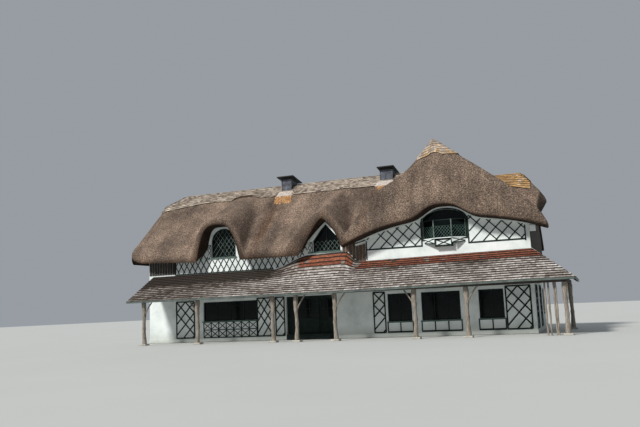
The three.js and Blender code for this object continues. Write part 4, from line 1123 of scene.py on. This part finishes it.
# Oriel bay: a shallow canted bay of diamond-paned glass before the gable window, with a
# pale painted sill, on an apron of white boards crossed by two green braces.
BAY_SILL, BAY_HEAD = 4.86, 5.72
frame_parts, post_parts, pane_parts, rod_parts, sill_parts = [], [], [], [], []
for face, length in (("bay_left", 0.705), ("bay_front", 0.9), ("bay_right", 0.739)):
    outline = [(0.0, BAY_SILL), (length, BAY_SILL), (length, BAY_HEAD), (0.0, BAY_HEAD)]
    pane_parts.append(model_plate("bay_glass", outline, face, 0.012, 0.018))
    rods = diamonds(0.0, length, BAY_SILL, BAY_HEAD, 0.15, 0.17, 0.016, -0.012, -0.002,
                    lambda a, b: b < 5.45)
    rod_parts.append(nail_laths("bay_rods", rods, face))
    rail = cut(0.05, -0.045, 0.0, (0, 5.735, length, 5.735))
    frame_parts.append(nail_laths("bay_rails", rail, face))
    posts = cut(0.045, -0.045, 0.001, (0.012, 4.83, 0.012, 5.75))
    posts += cut(0.045, -0.045, 0.002, (length - 0.012, 4.83, length - 0.012, 5.75))
    post_parts.append(nail_laths("bay_posts", posts, face))
    sill = cut(0.05, -0.05, 0.0, (-0.015, 4.835, length + 0.015, 4.835))
    sill_parts.append(nail_laths("bay_sill", sill, face))
    if face != "bay_front":
        near, far = (0.0, length - 0.06) if face == "bay_right" else (length, 0.06)
        side_panel = cut(0.22, -0.03, -0.012, (near, 4.68, far, 4.74))
        sill_parts.append(nail_laths("bay_side_panel", side_panel, face))
        crossed = cut(0.04, -0.012, 0.004, (near, 4.58, far, 4.8))
        crossed += cut(0.04, -0.012, 0.0055, (near, 4.8, far, 4.66))
        crossed += cut(0.05, -0.03, 0.006, (near, 4.565, far, 4.63))
        frame_parts.append(nail_laths("bay_side_braces", crossed, face))
braces = cut(0.07, -0.27, 0.02, (5.37, 4.42, 5.37, 4.8), (6.17, 4.42, 6.17, 4.8))
braces += cut(0.045, -0.02, 0.004, (5.4, 4.47, 6.14, 4.76))
braces += cut(0.045, -0.02, 0.0055, (5.4, 4.76, 6.14, 4.47))
braces += cut(0.05, -0.27, 0.015, (5.34, 4.45, 6.2, 4.45))
frame_parts.append(nail_laths("bay_brackets", braces, "apron"))
settle(join_pieces("oriel_frame", frame_parts), green, "joinery", stands_for=("oriel_bay",))
for name, parts, finish in (("oriel_posts", post_parts, came), ("oriel_glass", pane_parts, glass),
                            ("oriel_diamond_bars", rod_parts, sill_paint),
                            ("oriel_sill", sill_parts, white)):
    settle(join_pieces(name, parts), finish, "joinery")
roof_sheet, u, v, low = model_sheet("bay_lead_flat", 6, 2)
lay_sheet(roof_sheet, np.where(v < 0.4, 5.32 + 0.9 * u, 4.74 + 2.1 * u),
          np.where(v < 0.4, 1.84, np.where(v < 0.6, 2.02, 2.195)), 5.752 - np.where(low, 0.03, 0.0))
settle(roof_sheet, green, "joinery")
fix_laths("oriel_apron", cut(0.3, -0.26, -0.02, (5.36, 4.62, 6.18, 4.62)), "apron", white)


# Chimneys: short square stacks clad in sheet lead with a flared cover, dull grey going to
# near black under the cover, standing on the main ridge.
STACK_Y, STACK_DEPTH, STACK_FOOT = 5.95, 0.9, 8.55


def lid_top(y, front_z):
    return front_z - 0.17 * (y - 5.25)


def round_edges(piece, width, segments):
    rounded = piece.modifiers.new("rounded_edges", "BEVEL")
    rounded.width = width
    rounded.segments = segments
    bpy.ops.object.modifier_apply(modifier="rounded_edges")


def model_stack(name, x0, x1, front_z):
    # A box with dressed panels on its four faces, its head cut to the fall of the lid.
    piece = model_block(name, ((x0 + x1) / 2, STACK_Y, 9.0), (x1 - x0, STACK_DEPTH, 0.8))
    for vertex in piece.data.vertices:
        is_head = vertex.co.z > 9
        vertex.co.z = lid_top(vertex.co.y, front_z) - 0.131 if is_head else STACK_FOOT
    pick("FACE", piece.data.polygons, lambda face: abs(face.normal.z) < 0.5)
    bpy.ops.mesh.inset(thickness=0.06, use_individual=True)
    bpy.ops.transform.shrink_fatten(value=-0.015)
    bpy.ops.object.mode_set(mode="OBJECT")
    round_edges(piece, 0.012, 2)
    return piece


def draw_up(name, outline, stations):
    # Draws the outline in hand through stations of place, width and depth, and closes it.
    piece = bpy.context.object
    piece.name = name
    bpy.ops.object.mode_set(mode="EDIT")
    bpy.ops.mesh.select_all(action="SELECT")
    place, wide, deep = outline
    for next_place, next_wide, next_deep in stations:
        step = [b - a for a, b in zip(place, next_place)]
        bpy.ops.mesh.extrude_region_move(TRANSFORM_OT_translate={"value": step})
        bpy.ops.transform.resize(value=(next_wide / wide, next_deep / deep, 1),
                                 center_override=next_place)
        place, wide, deep = next_place, next_wide, next_deep
    face_outwards()
    return piece


def model_lid(name, x0, x1, stations, front_z):
    # A sheet spread outward through stations of half sizes and height, then tilted back.
    bpy.ops.object.select_all(action="DESELECT")
    bpy.ops.mesh.primitive_plane_add(size=2, location=(0, 0, 0))
    wide, deep, height = stations[0]
    for vertex in bpy.context.object.data.vertices:
        vertex.co = (math.copysign(wide, vertex.co.x), math.copysign(deep, vertex.co.y), height)
    rings = [((0, 0, z), half_x, half_y) for half_x, half_y, z in stations]
    piece = draw_up(name, rings[0], rings[1:])
    for vertex in piece.data.vertices:
        y = vertex.co.y + STACK_Y
        vertex.co = (vertex.co.x + (x0 + x1) / 2, y, lid_top(y, front_z) + vertex.co.z)
    return piece


# Milled sheet lead, weathered: blue-grey, half metallic and dented where it was dressed.
lead = mottled("weathered_sheet_lead", {"Metallic": 0.55, "Roughness": 0.55}, (4.0, 6.0, 0.65),
               [(0.3, "#282a31"), (0.55, "#52565e"), (0.75, "#7a7e85")], relief=(0.3, 0.02))
# The same lead under soot: near black and dull.
soot = mottled("sooted_lead_cover", {"Metallic": 0.3, "Roughness": 0.6}, (5.0, 5.0),
               [(0.35, "#0c0e11"), (0.7, "#202429")])
for name, x0, x1, lid_x0, lid_x1, front_z in (
        ("left_chimney", -4.53, -3.87, -4.72, -3.64, 9.6),
        ("right_chimney", 1.66, 2.43, 1.56, 2.56, 9.51)):
    settle(model_stack(name + "_lead_stack", x0, x1, front_z), lead, "lead",
           stands_for=(name + "_stack",))
    half, wide = (x1 - x0) / 2, (lid_x1 - lid_x0) / 2
    lid = model_lid(name + "_lead_lid", lid_x0, lid_x1, [
        (half + 0.01, 0.46, -0.129), (half + 0.04, 0.49, -0.1), (wide * 0.86, 0.61, -0.075),
        (wide, 0.7, -0.055), (wide, 0.7, -0.012), (wide - 0.015, 0.685, 0.0),
        (wide * 0.4, 0.3, 0.001)], front_z)
    settle(lid, soot, "lead", stands_for=(name + "_cap",))


# Beams, posts and poles: bare trunks with the bark off, standing on foot stones, with grown
# branches kept as braces, under squared darker beams.
# Trunk wood: pale grey and dry, checked along its length, the checks drawn 45 mm apart.
trunk_wood = mottled("bare_weathered_trunk", {"Roughness": 0.88}, (22.0, 7.0, 0.7),
                     [(0.30, "#4d463d"), (0.48, "#7f776c"), (0.62, "#9d9589"), (0.78, "#ada69b")],
                     stretch=(1.0, 1.0, 0.16), relief=(0.6, 0.015))
# Squared oak: dark brown and open grained, with a trace of sheen.
beam_wood = mottled("dark_squared_oak", {"Roughness": 0.75}, (8.0, 6.0),
                    [(0.3, "#231d19"), (0.7, "#4a4038")], stretch=(0.2, 3.0, 3.0),
                    relief=(0.4, 0.008))
# Limestone: cool pale grey, matt and pitted by feet and frost.
stone = mottled("worn_grey_limestone", {"Roughness": 0.85}, (7.0, 7.0, 0.6),
                [(0.3, "#8f8c84"), (0.7, "#c0bcb1")], relief=(0.4, 0.01))
finish_nodes(beam_wood, "veranda_beam", "side_beam")
finish_nodes(stone, "ground_floor")


def model_trunk(name, stations, sides, seed):
    # A ring is drawn up through stations of x, y, z and radius, and swelled into knots.
    bpy.ops.object.select_all(action="DESELECT")
    x, y, z, radius = stations[0]
    bpy.ops.mesh.primitive_circle_add(vertices=sides, radius=radius, fill_type="NGON",
                                      location=(x, y, z))
    bpy.ops.object.transform_apply(location=True)
    rings = [(tuple(spot), r, r) for *spot, r in stations]
    piece = draw_up(name, rings[0], rings[1:])
    low, high = stations[0][2], stations[-1][2]
    for vertex in piece.data.vertices:
        if low + 0.01 < vertex.co.z < high - 0.01:
            spot = Vector((vertex.co.x * 4, vertex.co.y * 4, vertex.co.z * 1.6 + seed))
            vertex.co += vertex.normal * (0.13 * radius * noise.noise(spot))
    bpy.ops.object.shade_smooth_by_angle(angle=math.radians(60))
    return piece


# name, x, y, lean at the foot, bow and reach of the branch
POSTS = [
    ("post_1", -10.6, 0, 0.03, -0.04, 0.5), ("post_2", -7.2, 0, -0.04, 0.045, -0.52),
    ("post_3", -2.81, 0, 0.025, -0.035, 0), ("post_4", -1.49, 0, -0.03, 0.05, 0.48),
    ("post_5", 0.56, 0, 0.035, -0.045, 0.56), ("post_6", 4.59, 0, -0.025, 0.035, -0.5),
    ("post_7", 7.02, 0, 0.03, -0.03, 0.52), ("post_8", 11.35, 0, -0.02, 0.03, 0),
    ("post_9", 11.38, 6.35, 0, 0.025, 0),
]
POST_FOOT, POST_LENGTH = 0.06, 2.255
feet = []
for number, (name, x, y, lean, bow, brace) in enumerate(POSTS):
    stations = []
    for i in range(17):
        t = i / 16
        bend = bow * math.sin(math.pi * 1.6 * t)
        knot = 0.02 if i in (6, 11) else 0
        radius = 0.122 - 0.035 * math.sin(math.pi * min(t * 1.15, 1)) + knot
        stations.append((x + lean * (1 - t) + bend * t * (1 - t) * 3, y,
                         POST_FOOT + POST_LENGTH * t, radius))
    parts = [model_trunk(name + "_trunk", stations, 14, number * 3.7)]
    if brace:
        arm = [(x + brace * t ** 1.35, y, 1.45 + 0.86 * t, 0.05 - 0.012 * math.sin(math.pi * t))
               for t in (i / 8 for i in range(9))]
        parts.append(model_trunk(name + "_branch", arm, 10, number * 5.1))
    settle(join_pieces(name + "_trunk", parts), trunk_wood, "bark_timber", stands_for=(name,))
    foot = model_block("foot_stone", (x, y, 0.045), (0.42, 0.4, 0.09))
    round_edges(foot, 0.02, 3)
    feet.append(foot)
settle(join_pieces("post_foot_stones", feet), stone, "stone")

poles = []
for number, x in enumerate((10.5, 10.65, 10.89, 10.96)):
    stations = [(x + 0.008 * math.sin(2.1 * i + number), 0, 2.315 * i / 10,
                 0.043 - 0.004 * math.sin(i)) for i in range(11)]
    poles.append(model_trunk("pole", stations, 10, number * 2.3))
settle(join_pieces("screen_poles", poles), trunk_wood, "bark_timber", stands_for=("pole_screen",))


# Door, its frame and the glazed screen keep their CAD form and take the green paint; two
# panes of glass painted dark as the shade behind, and slender bars, are set in each, and a pull
# handle is on the leaf.
GLASS_FOOT, PANE = 1.122, 0.0065
DOOR_GLASS, SCREEN_GLASS = (-1.088, -0.357, 2.078), (-2.888, -1.37, 2.134)
finish_nodes(green, "door_frame", "garden_door", "glazed_screen")
finish_nodes(beam_wood, "upper_floor")
for name, body, (x0, x1, top), near in (
        ("door_glass_outer", "door", DOOR_GLASS, 0.236),
        ("door_glass_inner", "door", DOOR_GLASS, 0.2615),
        ("screen_glass_outer", "house", SCREEN_GLASS, 0.213),
        ("screen_glass_inner", "house", SCREEN_GLASS, 0.2405)):
    outline = [(x0, GLASS_FOOT), (x1, GLASS_FOOT), (x1, top), (x0, top)]
    settle(model_plate(name, outline, "front", near, near + PANE), glass, "joinery", body=body)
door_trim = cut(0.03, -0.236, -0.229, (-1.088, 1.6, -0.357, 1.6))
door_trim += cut(0.03, -0.236, -0.2285, (-0.7225, 1.12, -0.7225, 2.08))
for a0, a1 in ((-1.08, -0.76), (-0.69, -0.37)):
    door_trim += cut(0.03, -0.23, -0.218, (a0, 0.42, a1, 0.42), (a0, 1.0, a1, 1.0))
    door_trim += cut(0.03, -0.23, -0.217, (a0, 0.42, a0, 1.0), (a1, 0.42, a1, 1.0))
fix_laths("door_bars_and_mouldings", door_trim, "front", green, body="door")
screen_trim = cut(0.03, -0.213, -0.204, *[(x, 1.12, x, 2.135) for x in (-2.51, -2.13, -1.75)])
screen_trim += cut(0.03, -0.213, -0.2035, (-2.89, 1.62, -1.37, 1.62))
fix_laths("screen_bars", screen_trim, "front", green)
# Forged iron, waxed: blue-black, half glossy, with hammer marks.
iron = mottled("black_forged_iron", {"Metallic": 0.7, "Roughness": 0.5}, (40.0, 4.0),
               [(0.3, "#15161a"), (0.7, "#2c2e33")])
pull = [(-1.145, 2.43 - 0.035 * math.sin(math.pi * t) ** 0.5, 1.02 + 0.16 * t,
         0.007 + 0.002 * math.sin(math.pi * t)) for t in (i / 8 for i in range(9))]
settle(model_trunk("door_pull", pull, 10, 2.0), iron, "joinery", body="door")
